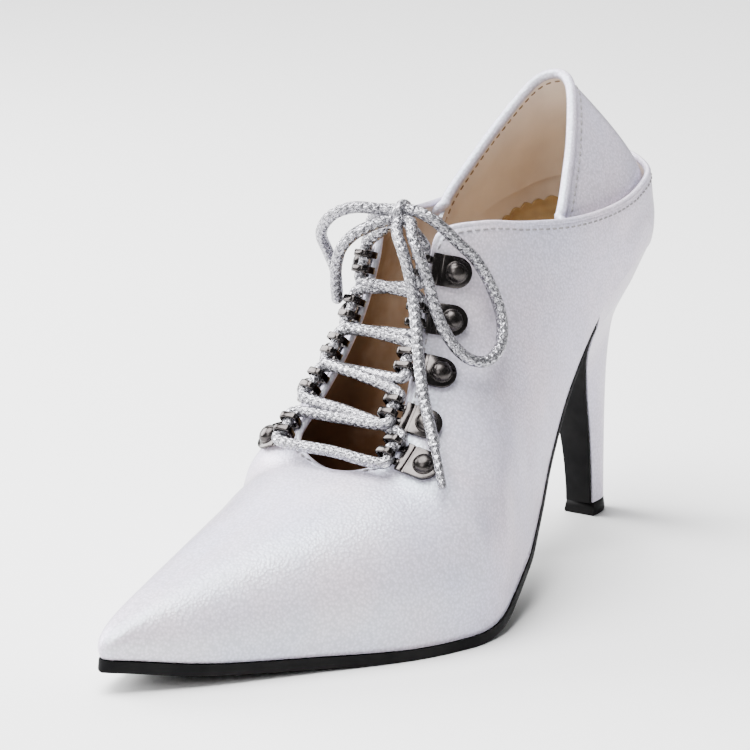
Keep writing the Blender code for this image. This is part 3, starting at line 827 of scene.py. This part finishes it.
def lining_tone_and_painted_shade(name):
    """Matt lining with a suede-like grain; pale at the heel tab's top, brown to near black below and to the
    front: partly the lining's own browner tone, partly painted shade and light.
    """
    made = Finish(name, 0.62)
    # Painted shade and light: darker towards the front (Y) and paler upwards (Z), partly the lining's own
    # tone, partly painted shade deep inside the shoe and painted light on the tab's top.
    back = made.spread(made.axis("Y"), -0.12, -0.03, 0.0, 0.6)
    rise = made.spread(made.axis("Z"), 0.095, 0.13, 0.0, 0.35)
    patches = made.spread(made.noise(12.0, 4.0), 0.3, 0.7, 0.0, 0.12)
    made.colours(made.maths("ADD", made.maths("ADD", back, rise), patches), (0.0, (0.055, 0.024, 0.011)),
                 (0.25, (0.15, 0.070, 0.029)), (0.55, (0.55, 0.455, 0.385)), (1.0, (0.90, 0.79, 0.68)))
    made.bump((made.noise(0.5, 3.0), 0.06, 0.4), (made.noise(7.0, 3.0), 0.2, 0.15))
    return made.material


def sock_cloth(name):
    """Brown-gold coated sock with a slight lustre."""
    made = Finish(name, 0.42, metallic=0.25)
    made.colours(made.noise(8.0, 4.0), (0.3, (0.38, 0.26, 0.12)), (0.7, (0.52, 0.37, 0.19)))
    made.bump((made.cells(0.6), 0.05, 0.3), (made.noise(5.0), 0.15, 0.15))
    return made.material


def black_sole(name, roughness):
    """Black sole with a faint moulded texture and dusty wear."""
    made = Finish(name, roughness)
    made.colours(made.noise(14.0, 5.0), (0.35, (0.004, 0.004, 0.0045)), (0.75, (0.010, 0.0095, 0.0095)))
    made.set(Specular_IOR_Level=0.06)
    made.patchy(4.0, 4.0, roughness - 0.1, roughness + 0.12)
    made.bump((made.noise(0.6, 3.0), 0.05, 0.35))
    return made.material


def gunmetal(name, roughness):
    """Dark plated metal, polished brighter in patches."""
    made = Finish(name, roughness, metallic=1.0)
    made.colours(made.noise(2.5, 4.0), (0.3, (0.040, 0.036, 0.035)), (0.7, (0.075, 0.068, 0.066)))
    made.patchy(1.2, 3.0, roughness - 0.06, roughness + 0.06)
    made.bump((made.noise(0.8, 3.0), 0.02, 0.25))
    return made.material


def thread(name, dark, light):
    """Sewing thread between two close shades."""
    made = Finish(name, 0.6)
    made.colours(made.noise(1.0), (0.3, dark), (0.7, light))
    made.bump((made.noise(0.25), 0.05, 0.4))
    return made.material


def glitter_cord(name, tilt):
    """Braided cord with silver glitter flakes that lie at up to the given tilt."""
    made = Finish(name, 0.36, metallic=0.85)
    woven = made.node("UVMap", "UV")
    along = made.axis("X", woven)
    turn = made.axis("Y", woven)
    braids = []
    for lean in (1.0, -1.0):
        slant = made.maths("MULTIPLY", along, lean * 2 * math.pi / BRAID_PITCH)
        across = made.maths("MULTIPLY", turn, math.pi * BRAID_STRANDS)
        braids.append(made.maths("SINE", made.maths("ADD", across, slant)))
    leaned = made.maths("ADD", along, made.maths("MULTIPLY", turn, FLAKE_LEAN))
    flake_along = made.maths("MULTIPLY", leaned, 1 / FLAKE_LENGTH)
    flake_turn = made.maths("MULTIPLY", turn, FLAKES_ROUND)
    flakes = made.cells(1 / MM, "Color", made.node("CombineXYZ", "Vector", flake_along, flake_turn))
    made.colours(made.node("SeparateColor", "Red", flakes), (0.0, (0.11, 0.11, 0.12)),
                 (0.5, (0.22, 0.217, 0.235)), (0.95, (0.62, 0.61, 0.65)))
    made.set(Roughness=made.spread(made.node("SeparateColor", "Green", flakes), 0.0, 1.0, 0.15, 0.45))
    made.bump((made.maths("MAXIMUM", *braids), 0.2, 0.7))
    made.flakes(flakes, tilt)
    return made.material


def wall_grid():
    """Points of the upper's outer face by column and row, with their normals."""
    heights = np.linspace(0, 1, UPPER_ROWS + 1)
    places = np.arange(RING * COLUMNS_PER_SECTION) / COLUMNS_PER_SECTION
    grid = np.array([bezier(wall_handles(place), heights) for place in places])
    along = np.roll(grid, -1, axis=0) - np.roll(grid, 1, axis=0)
    normals = unit(np.cross(along, np.gradient(grid, axis=1)))
    for column in range(1, SLOT_ROW * COLUMNS_PER_SECTION + 1):
        shared = unit(normals[column, -1] + normals[-column, -1])
        normals[column, -1] = shared
        normals[-column, -1] = shared
    return grid, normals


def crease_depths(grid):
    """How far each point of the upper is pressed in by the creases."""
    total = np.zeros(grid.shape[:2])
    shares = np.linspace(0, 1, CREASE_STEPS)
    for row_a, height_a, row_b, height_b, half, depth in CREASES:
        places = zip(row_a + (row_b - row_a) * shares, height_a + (height_b - height_a) * shares)
        line = np.array([wall(row, height) for row, height in places])
        apart = np.linalg.norm(grid[:, :, None] - line[None, None], axis=3)
        fade = np.sin(math.pi * shares[apart.argmin(axis=2)]) ** CREASE_FADE
        total += depth * fade * np.exp(-((apart.min(axis=2) / half) ** 2))
    return total


def drawn_back(grid, normals):
    """The wall drawn back from the opening's edge by the roll's radius, and the middle line of the roll."""
    first = SLOT_ROW * COLUMNS_PER_SECTION
    edge = grid[first:-first, -1]
    facing = normals[first:-first, -1]
    along = np.roll(edge, -1, axis=0) - np.roll(edge, 1, axis=0)
    back = unit(np.cross(along, facing)) * ROLL_RADIUS
    apart = np.linalg.norm(grid[:, :, None] - edge[None, None], axis=3)
    fade = np.clip(1 - apart.min(axis=2) / ROLL_REACH, 0.0, 1.0)
    moved = grid + back[apart.argmin(axis=2)] * fade[:, :, None]
    return moved, edge + back - facing * UPPER_WALL / 2


def make_upper(leather, lining):
    grid, normals = wall_grid()
    shaped, rolled = drawn_back(grid - normals * crease_depths(grid)[:, :, None], normals)
    faces = grid_faces(*shaped.shape[:2], loop_columns=True)
    mesh = make_mesh(world_points(shaped.reshape(-1, 3)), faces, SHELL_SHARP_DEG, closed=False)
    shell = add_piece("upper_shell", mesh, (leather, lining), "upper_leather", "upper")
    thicken(shell, UPPER_WALL, use_even_offset=True, use_quality_normals=True, material_offset=1)
    add_piece("collar_roll", tube(rolled, ROLL_RADIUS, ROLL_SIDES, closed=True), (leather,), "upper_leather")
    seam = smooth_path([wall(RING - row, height) for row, height in INNER_SEAM])
    add_piece("inner_seam", tube(seam, SEAM_RADIUS, ROLL_SIDES), (leather,), "upper_leather")


def sole_down(section):
    """Direction from the feather line through the sole, square to its profile."""
    along = spline(PATH_ROWS, section + PROFILE_STEP) - spline(PATH_ROWS, section - PROFILE_STEP)
    return unit(np.array((0.0, along[1], -along[0])))


def strip_edges(section, edge, depth):
    """Outer and inner edge of a strip under (depth > 0) or over the feather line, and the way down."""
    down = sole_down(section)
    outer = feather(section) + outward(section) * edge + down * depth
    inner = feather(RING - section) + outward(RING - section) * edge + down * depth
    return outer, inner, down


def rounded_ring(outer, inner, down, thickness, radius):
    """Ring of a flat strip whose lower edges are rounded; nothing goes below the floor."""
    radius = min(radius, (outer[0] - inner[0]) * ROUND_SHARE)
    turns = np.linspace(0, math.pi / 2, ROUND_STEPS + 1)
    ring = [outer, inner]
    for corner, inwards, order in ((inner, SIDEWAYS, turns), (outer, -SIDEWAYS, turns[::-1])):
        for turn in order:
            drop = thickness - radius * (1 - math.sin(turn))
            ring.append(corner + down * drop + inwards * radius * (1 - math.cos(turn)))
    return [np.array((x, y, max(z, 0.0))) for x, y, z in ring]


def flap_sections():
    """Rings of the sole's flap, which turns down the heel's breast and thins with it."""
    line = list(FLAP_CORNER)
    for step in range(HEEL_STEPS_PER_ROW, HEEL_STEPS + 1, 2):
        z_front, z_back, fore_front, fore_back, half, square = spline(HEEL_ROWS, step / HEEL_STEPS_PER_ROW)
        line.append((fore_front + GAP, z_front, half - GAP))
    sections = []
    for before, (fore, z, half), after in zip(line[:1] + line, line, line[1:] + line[-1:]):
        facing = unit(np.array((0.0, after[1] - before[1], after[0] - before[0])))
        edges = [table_point(x, fore, z) for x in (half, -half)]
        sections.append(rounded_ring(*edges, facing, FLAP_THICKNESS, FLAP_ROUND))
    return sections


def make_outsole(finish):
    """The sole from the toe to the heel's breast, thinner at the waist than at the ball, and its flap."""
    sections = []
    for step in range(int(HEEL_BREAST_ROW * COLUMNS_PER_SECTION)):
        section = step / COLUMNS_PER_SECTION
        ball = min(1.0, max(0.0, (HEEL_BREAST_ROW - section) / (HEEL_BREAST_ROW - SOLE_BALL_ROW)))
        thickness = SOLE_THICKNESS_WAIST + (SOLE_THICKNESS_BALL - SOLE_THICKNESS_WAIST) * ball
        edges = strip_edges(section, SOLE_EDGE_BALL * ball, GAP)
        sections.append(rounded_ring(*edges, thickness, SOLE_ROUND))
    mesh = loft(sections + flap_sections(), SOLE_SHARP_DEG)
    add_piece("outsole_shaped", mesh, (finish,), "sole_black", "outsole")


def insole_top(section, share):
    """Point on the insole's upper face, with a shallow dish across it."""
    outer, inner, down = strip_edges(section, -(UPPER_WALL + 2 * GAP), -GAP - INSOLE_THICKNESS)
    return outer + (inner - outer) * share + down * INSOLE_DISH * 4 * share * (1 - share)


def make_insole(lining):
    sections = []
    count = int((LAST_ROW - INSOLE_FIRST_ROW) * COLUMNS_PER_SECTION)
    for section in np.linspace(INSOLE_FIRST_ROW, LAST_ROW, count + 1):
        ring = [insole_top(section, share) for share in np.linspace(0, 1, INSOLE_ACROSS + 1)]
        down = sole_down(section) * INSOLE_THICKNESS
        sections.append(ring + [ring[-1] + down, ring[0] + down])
    add_piece("insole_lining", loft(sections), (lining,), "insole_lining", "insole")


def inside_at_level(place, level):
    """Point just inside the wall's lining at a height above the floor."""
    heights = np.linspace(0, 1, UPPER_ROWS + 1)
    levels = bezier(wall_handles(place), heights)[:, 2]
    depth = UPPER_WALL + SOCK_THICKNESS + SOCK_CLEAR
    return inside_wall(place, float(np.interp(level, levels, heights)), depth)


def sock_section(section, climb, crown):
    """Points across the sock: down the outer wall, over the insole and up the inner wall."""
    outer_level = insole_top(section, 0.0)[2]
    inner_level = insole_top(section, 1.0)[2]
    rises = (climb + crown, climb * SOCK_TURN)
    marks = [inside_at_level(section, outer_level + rise) for rise in rises]
    for share in (SOCK_BEND, 0.5, 1 - SOCK_BEND):
        marks.append(insole_top(section, share) - sole_down(section) * SOCK_THICKNESS)
    marks += [inside_at_level(RING - section, inner_level + rise) for rise in reversed(rises)]
    return [spline(marks, place) for place in np.linspace(0, len(marks) - 1, SOCK_ACROSS + 1)]


def make_sock(cloth):
    rows, climbs = zip(*SOCK_CLIMB)
    points = []
    for step, section in enumerate(np.linspace(rows[0], SOCK_LAST_ROW, SOCK_ALONG + 1)):
        scallop = abs(math.sin(math.pi * SOCK_SCALLOPS * step / SOCK_ALONG))
        points += sock_section(section, np.interp(section, rows, climbs), SOCK_PINK_DEPTH * scallop)
    mesh = make_mesh(world_points(points), grid_faces(SOCK_ALONG + 1, SOCK_ACROSS + 1), closed=False)
    if sum(polygon.normal.z for polygon in mesh.polygons) < 0:
        mesh.flip_normals()
    thicken(add_piece("heel_sock", mesh, (cloth,), "insole_lining"), SOCK_THICKNESS)


def heel_shares():
    """Shares round a heel section: -1 at the outer breast corner, 0 at the back, 1 at the inner corner."""
    steps = range(-HEEL_OUTLINE_STEPS, HEEL_OUTLINE_STEPS + 1)
    return [math.copysign(1 - math.cos(math.pi / 2 * step / HEEL_OUTLINE_STEPS), step) for step in steps]


def d_outline(z_front, z_back, fore_front, fore_back, half, square):
    """Points of a D-shaped heel section, from the outer breast corner round the back to the inner one."""
    points = []
    for side in heel_shares():
        share = abs(side)
        width = half * (1 - (1 - share) ** square) ** (1 / square)
        fore = fore_back + (fore_front - fore_back) * share
        points.append(table_point(math.copysign(width, -side), fore, z_back + (z_front - z_back) * share))
    return points


def make_heel(leather, black):
    """The covered heel under the feather line, and its top lift."""
    seat = []
    for side in heel_shares():
        place = LAST_ROW + side * (LAST_ROW - HEEL_BREAST_ROW)
        seat.append(feather(place) - outward(place) * SEAT_INSET - UP * GAP)
    sections = [seat]
    for step in range(HEEL_STEPS_PER_ROW // 2, HEEL_STEPS + 1):
        sections.append(d_outline(*spline(HEEL_ROWS, step / HEEL_STEPS_PER_ROW)))
    add_piece("heel_cover", loft(sections), (leather,), "heel_cover", "heel")
    z_front, z_back, fore_front, fore_back, half, square = HEEL_SECTIONS[-1]
    rings = []
    for z, flare in TOP_LIFT_RINGS:
        rings.append(d_outline(z, z, fore_front + flare, fore_back - flare, half + flare, square))
    add_piece("top_lift_shaped", loft(rings), (black,), "top_lift_black", "top_lift")


def tab_handles(place):
    """Bezier points up the heel tab at a signed row of its edge table, and its piped edge's middle."""
    row = spline(TAB_RING, place + len(TAB_SIDE) - 1)
    edge = row[:3]
    seat = inside_wall(row[3], TAB_SEAT_HEIGHT, UPPER_WALL + GAP)
    start = inside_wall(row[3], TAB_START_HEIGHT, UPPER_WALL + GAP)
    low_handle = seat + unit(start - seat) * np.linalg.norm(edge - seat) * TAB_FULLNESS
    tip = edge + unit(low_handle - edge) * TAB_BINDING_RADIUS * TAB_TIP_SHARE
    top_handle = tip + (low_handle - tip) * TAB_TOP_PULL
    return (seat, low_handle, top_handle, tip), edge


def make_heel_tab(leather, lining):
    last = len(TAB_EDGE) - 1
    places = np.linspace(last, -last, 2 * last * TAB_STEPS_PER_ROW + 1)
    heights = np.linspace(0, 1, TAB_ROWS + 1)
    columns = [tab_handles(place) for place in places]
    grid = np.array([bezier(handles, heights) for handles, edge in columns])
    facing = unit(np.cross(np.gradient(grid, axis=0), np.gradient(grid, axis=1)))
    depths = np.interp(heights, (0.0, TAB_THIN_FROM, 1.0), (TAB_WALL, TAB_WALL, TAB_EDGE_WALL))
    lined = grid - facing * depths[None, :, None]
    add_piece("heel_tab_skin", sheet(grid, lined), (leather, lining), "tab_leather", "heel_tab")
    ring, height, depth = PIPING_END
    route = [inside_wall(ring, height, depth)]
    for place, (handles, edge), out in zip(places, columns, facing[:, -1]):
        if abs(place) <= PIPING_ROWS:
            route.append(edge - out * TAB_EDGE_WALL / 2)
    route.append(inside_wall(RING - ring, height, depth))
    path = smooth_path(route)
    from_end = np.minimum(np.arange(len(path)), np.arange(len(path))[::-1]) * PATH_STEP
    radii = TAB_BINDING_RADIUS * np.clip(PIPING_TIP + (1 - PIPING_TIP) * from_end / PIPING_TAPER, 0.0, 1.0)
    add_piece("tab_piping", tube(path, radii, ROLL_SIDES), (leather,), "tab_piping", "tab_binding")
    return grid, lined, facing


def stitch_mesh(points, normals):
    """Row of short stitches along a line that lies on a surface."""
    points = np.asarray(points)
    normals = np.asarray(normals)
    length = running_length(points)
    count = int(length[-1] / STITCH_PITCH)
    turns = [2 * math.pi * side / STITCH_SIDES for side in range(STITCH_SIDES)]
    made = []
    faces = []
    for stitch in range(count):
        middle = (stitch + 0.5) * length[-1] / count
        centre = at_length(points, length, middle)
        out = unit(at_length(normals, length, middle))
        along = unit(at_length(points, length, middle + STITCH_LENGTH / 4) - centre)
        aside = np.cross(along, out)
        for face in loft_faces(len(STITCH_PROFILE), STITCH_SIDES):
            faces.append([corner + len(made) for corner in face])
        for share, swell, lift in STITCH_PROFILE:
            hub = centre + along * share * STITCH_LENGTH / 2 + out * STITCH_RADIUS * lift
            for turn in turns:
                made.append(hub + (aside * math.cos(turn) + out * math.sin(turn)) * STITCH_RADIUS * swell)
    return make_mesh(world_points(made), faces)


def make_stitches(grey_painted_shade, brown_painted_shade, tab):
    """Stitch rows below the collar and slot edge and beside the tab's piping, outside and on its lining."""
    start = SLOT_ROW + COLLAR_STITCH_START
    rows = np.linspace(start, RING - start, STITCH_SAMPLES)
    places = [(row, below_edge(row, COLLAR_STITCH)) for row in rows]
    mesh = stitch_mesh([wall(*place) for place in places], [wall_normal(*place) for place in places])
    add_piece("collar_stitches", mesh, (grey_painted_shade,), "upper_leather")
    skin, lined, facing = tab
    tab_rows = (
        ("tab_stitches", grey_painted_shade, skin, facing, TAB_STITCH_OUTSIDE),
        ("tab_lining_stitches", brown_painted_shade, lined, -facing, TAB_STITCH_LINING),
    )
    for name, finish, grid, outwards, distance in tab_rows:
        points = []
        normals = []
        for column, normal in zip(grid[:, ::-1], outwards[:, ::-1]):
            length = running_length(column)
            points.append(at_length(column, length, distance))
            normals.append(at_length(normal, length, distance))
        add_piece(name, stitch_mesh(points, normals), (finish,), "tab_leather")


def nearest_on_wall(target, place, height):
    """Ring place and height of the wall's point nearest to a target close to it."""
    for _ in range(SEARCH_ROUNDS):
        here = wall(place, height)
        along = (wall(place + SEARCH_STEP, height) - here) / SEARCH_STEP
        upward = (here - wall(place, height - SEARCH_STEP)) / SEARCH_STEP
        move = np.linalg.lstsq(np.stack((along, upward), axis=1), target - here, rcond=None)[0]
        place += move[0]
        height = min(max(height + move[1], SEARCH_LOW), 1.0)
    return place, height


def guide_frame(number, side):
    """Middle of a guide's plate, with its directions across the slot, up the slot and out of the wall."""
    row, inset, turn_deg = GUIDE_PLACES[number][0 if side > 0 else 1]
    place = row if side > 0 else RING - row
    step = side * PROFILE_STEP
    up_slot = unit(top_line(place + step) - top_line(place - step))
    across = unit(np.cross(wall_normal(place, NEAR_EDGE), up_slot)) * side
    place, height = nearest_on_wall(top_line(place) - across * inset, place, NEAR_EDGE)
    out = wall_normal(place, height)
    across = unit(across - out * np.dot(across, out))
    up_slot = unit(np.cross(across, out)) * side
    turn = math.radians(turn_deg)
    turned = across * math.cos(turn) + up_slot * math.sin(turn)
    up_slot = up_slot * math.cos(turn) - across * math.sin(turn)
    return wall(place, height) + out * GUIDE_LIFT, turned, up_slot, out


def prism(outline, low, high, upright, bevel):
    """Closed prism with rounded edges: the outline lies in XY, or in XZ where it stands upright."""
    order = (0, 2, 1) if upright else (0, 1, 2)

    def placed(*point):
        return Vector([point[axis] * MM for axis in order])

    work = bmesh.new()
    face = work.faces.new([work.verts.new(placed(x, across, low)) for x, across in outline])
    made = bmesh.ops.extrude_face_region(work, geom=[face])["geom"]
    moved = [item for item in made if isinstance(item, bmesh.types.BMVert)]
    bmesh.ops.translate(work, verts=moved, vec=placed(0.0, 0.0, high - low))
    bmesh.ops.recalc_face_normals(work, faces=work.faces)
    rims = [edge for edge in work.edges if edge.calc_face_angle(0.0) > math.radians(RIM_DEG)]
    bmesh.ops.bevel(work, geom=rims, offset=bevel * MM, segments=2, profile=0.5, affect="EDGES")
    mesh = bpy.data.meshes.new("prism")
    work.to_mesh(mesh)
    work.free()
    return mesh


def plate_outline(front):
    """Plate seen from above: a half-round end about the rivet and a straight front."""
    half = PLATE_WIDTH / 2
    points = [(front, -half), (front, half)]
    for angle in np.linspace(math.pi / 2, 3 * math.pi / 2, ROUND_SIDES // 2 + 1):
        points.append((RIVET_X + half * math.cos(angle), half * math.sin(angle)))
    return points


def loop_point(radius, angle):
    """Point of an arm's flattened loop about the lace, which leans into the slot."""
    ways = (math.cos(angle), math.sin(angle))
    x, z = (math.copysign(abs(way) ** (2 / LOOP_SQUARENESS), way) for way in ways)
    lean = math.radians(LOOP_LEAN_DEG)
    across = x * math.cos(lean) + z * math.sin(lean)
    rise = z * math.cos(lean) - x * math.sin(lean)
    return LOOP_X + radius * across, LOOP_Z + radius * rise


def arm_outline():
    """Curled arm seen from its end: from under the plate's front round the lace and back over it."""
    arc = np.linspace(math.radians(ARM_START_DEG), math.radians(ARM_END_DEG), ROUND_SIDES + 1)
    outer = [loop_point(LOOP_OUTER, angle) for angle in arc]
    inner = [loop_point(LOOP_INNER, angle) for angle in reversed(arc)]
    tail_x = PLATE_FRONT - ARM_TAIL
    return [(tail_x, PLATE_SINK)] + outer + inner + [(tail_x, PLATE_THICKNESS - PLATE_SINK)]


def guide_mesh():
    """Base plate, the two raised pads either side of its groove, and two curled arms."""
    half = PLATE_WIDTH / 2
    front_pad = [(GROOVE_FRONT, -half), (PLATE_FRONT, -half), (PLATE_FRONT, half), (GROOVE_FRONT, half)]
    pieces = [
        prism(plate_outline(PLATE_FRONT), 0.0, PLATE_BASE, False, PLATE_BEVEL / 2),
        prism(plate_outline(GROOVE_BACK), PLATE_SINK, PLATE_THICKNESS, False, PLATE_BEVEL),
        prism(front_pad, PLATE_SINK, PLATE_THICKNESS, False, PLATE_BEVEL),
    ]
    for middle in (-ARM_Y, ARM_Y):
        low = middle - ARM_WIDTH / 2
        pieces.append(prism(arm_outline(), low, low + ARM_WIDTH, True, ARM_BEVEL))
    return merged(pieces)


def rivet_mesh():
    """Domed head turned from its profile."""
    points = []
    for radius, height in RIVET_PROFILE:
        for turn in np.linspace(0, 2 * math.pi, ROUND_SIDES, endpoint=False):
            points.append((radius * math.cos(turn), radius * math.sin(turn), height))
    return make_mesh(np.array(points) * MM, loft_faces(len(RIVET_PROFILE), ROUND_SIDES))


def make_guides(metal, dome_metal):
    plate = guide_mesh()
    dome = rivet_mesh()
    rivet_place = Matrix.Translation(Vector((RIVET_X, 0.0, PLATE_THICKNESS)) * MM)
    for side, label in ((1, "outer"), (-1, "inner")):
        plates = []
        domes = []
        for number in GUIDE_PLACES:
            middle, across, up_slot, out = guide_frame(number, side)
            turn = Matrix((Vector(across), Vector(np.cross(out, across)), Vector(out))).transposed()
            placed = Matrix.Translation(Vector(world_points(middle))) @ turn.to_4x4()
            plates.append(plate.copy())
            plates[-1].transform(placed)
            domes.append(dome.copy())
            domes[-1].transform(placed @ rivet_place)
        guides = [f"lace_guide_{label}_{number}" for number in GUIDE_PLACES]
        rivets = [f"rivet_{label}_{number}" for number in GUIDE_PLACES]
        add_piece(f"guides_{label}", merged(plates), (metal,), "guide_metal", *guides)
        add_piece(f"rivets_{label}", merged(domes), (dome_metal,), "rivet_metal", *rivets)


def lace_place(number, side, along):
    """Point on the lace's line through a guide's loops, a signed distance up the slot."""
    middle, across, up_slot, out = guide_frame(number, side)
    return middle + across * LOOP_X + out * LOOP_Z + up_slot * along


def laced_route(side, lift):
    """One half of the lace, from the bottom bar's middle through every guide up to the knot."""
    route = [table_point(*BAR_MIDDLE)]
    for number in reversed(GUIDE_PLACES):
        low = lace_place(number, side, -LACE_CLEAR)
        if len(route) > 1:
            out = guide_frame(number + 1, -side)[3] + guide_frame(number, side)[3]
            route.append((route[-1] + low) / 2 + unit(out) * lift)
            lift = LACE_CROSS_LIFT - lift
        route += [low, lace_place(number, side, 0.0), lace_place(number, side, LACE_CLEAR)]
        side = -side
    return route + [(route[-1] + KNOT) / 2, KNOT]


def make_lacing(cord):
    """The lace through the guides in two halves."""
    halves = []
    for side, lift in ((1, LACE_CROSS_LIFT), (-1, 0.0)):
        halves.append(tube(smooth_path(laced_route(side, lift)), LACE_RADIUS, LACE_SIDES))
    crossings = [f"lace_crossing_{number}" for number in (5, 4, 3, 2)]
    add_piece("lace_laced", merged(halves), (cord,), "lace_cord", "lace_bar", *crossings)


def make_knot(cord):
    """The knot: a turn round the strands of the loops and ends that pass through it."""
    tilt = math.radians(KNOT_TILT_DEG)
    wrap = []
    for turn in np.linspace(0, 2 * math.pi, KNOT_STEPS, endpoint=False):
        level = KNOT_WRAP * math.cos(turn)
        rise = KNOT_WRAP * math.sin(turn)
        wrap.append(KNOT + np.array((rise * math.sin(tilt), level, rise * math.cos(tilt))))
    meshes = [tube(wrap, LACE_RADIUS, LACE_SIDES, closed=True)]
    for kind, end, height in KNOT_STRANDS:
        inner, outer = (table_point(*BOW_ROUTES[f"lace_{kind}_{side}"][end]) for side in ("inner", "outer"))
        meshes.append(tube(smooth_path([inner, KNOT + UP * height, outer]), LACE_RADIUS, LACE_SIDES))
    add_piece("lace_knot_tied", merged(meshes), (cord,), "lace_cord", "lace_knot")


def make_bow(cord, tip):
    """The free loops and ends of the bow; each end carries a slim tip."""
    for name, points in BOW_ROUTES.items():
        path = smooth_path([table_point(*point) for point in points])
        if "end" in name:
            tip_steps = int(AGLET_LENGTH / PATH_STEP)
            tip_path = path[-tip_steps - 1 :]
            path = path[: -tip_steps + 1]
            radii = np.full(len(tip_path), AGLET_RADIUS)
            radii[-1] = AGLET_RADIUS * AGLET_NOSE
            add_piece(name + "_tip", tube(tip_path, radii, LACE_SIDES), (tip,), "lace_cord")
        piece = add_piece(name + "_tied", tube(path, LACE_RADIUS, LACE_SIDES), (cord,), "lace_cord", name)


def face_towards(thing, place, aim):
    thing.location = place
    thing.rotation_mode = "QUATERNION"
    thing.rotation_quaternion = (Vector(aim) - Vector(place)).to_track_quat("-Z", "Y")


def make_studio():
    """Pale floor under a pale world, soft lights and the photograph's camera."""
    floor_mesh = bpy.data.meshes.new("floor")
    work = bmesh.new()
    bmesh.ops.create_circle(work, cap_ends=True, segments=FLOOR_SIDES, radius=FLOOR_RADIUS)
    work.to_mesh(floor_mesh)
    work.free()
    paint = Finish("floor_paint", 0.7)
    paint.colours(paint.noise(400.0), (0.0, (0.80, 0.80, 0.80)), (1.0, (0.82, 0.82, 0.82)))
    floor_mesh.materials.append(paint.material)
    put("floor", floor_mesh)
    world = bpy.data.worlds.new("studio")
    world.use_nodes = True
    world.node_tree.nodes["Background"].inputs["Color"].default_value = (1.0, 1.0, 1.0, 1.0)
    world.node_tree.nodes["Background"].inputs["Strength"].default_value = WORLD_STRENGTH
    bpy.context.scene.world = world
    for name, place, aim, size, power in LIGHTS:
        light = bpy.data.lights.new(name, "AREA")
        light.shape = "DISK"
        light.size = size
        light.energy = power
        face_towards(put(name, light), place, aim)
    turn = math.radians(CAMERA_TURN_DEG)
    rise = math.radians(CAMERA_RISE_DEG)
    back = Vector((math.sin(turn) * math.cos(rise), -math.cos(turn) * math.cos(rise), math.sin(rise)))
    pair, shoe = (Vector(world_points(table_point(*middle))) for middle in (PAIR_MIDDLE, SHOE_MIDDLE))
    data = bpy.data.cameras.new("camera")
    data.sensor_width = SENSOR_WIDTH
    data.lens = CAMERA_LENS
    data.clip_start = CAMERA_NEAR
    camera = put("camera", data)
    face_towards(camera, pair + back * CAMERA_DISTANCE, shoe)
    bpy.context.scene.camera = camera


def main():
    make_studio()
    cord = glitter_cord("glitter_cord", tilt=0.36)
    make_bow(cord, glitter_cord("lace_tip", tilt=0.25))
    make_lacing(cord)
    make_knot(cord)
    leather = pearl_leather("pearl_leather")
    lining = lining_tone_and_painted_shade("lining_tone_and_painted_shade")
    make_upper(leather, lining)
    make_outsole(black_sole("sole_rubber", roughness=0.6))
    make_heel(leather, black_sole("lift_rubber", roughness=0.55))
    make_insole(lining)
    make_sock(sock_cloth("sock_cloth"))
    tab = make_heel_tab(leather, lining)
    # Both threads are painted darker than the thread itself, which is near the tone of the leather under it:
    # the grey and brown are painted shade of the stitch holes.
    grey_painted_shade = thread("grey_thread_painted_shade", (0.20, 0.19, 0.20), (0.28, 0.27, 0.28))
    brown_painted_shade = thread("brown_thread_painted_shade", (0.20, 0.13, 0.08), (0.28, 0.19, 0.12))
    make_stitches(grey_painted_shade, brown_painted_shade, tab)
    make_guides(gunmetal("guide_metal", roughness=0.17), gunmetal("rivet_metal", roughness=0.28))


main()
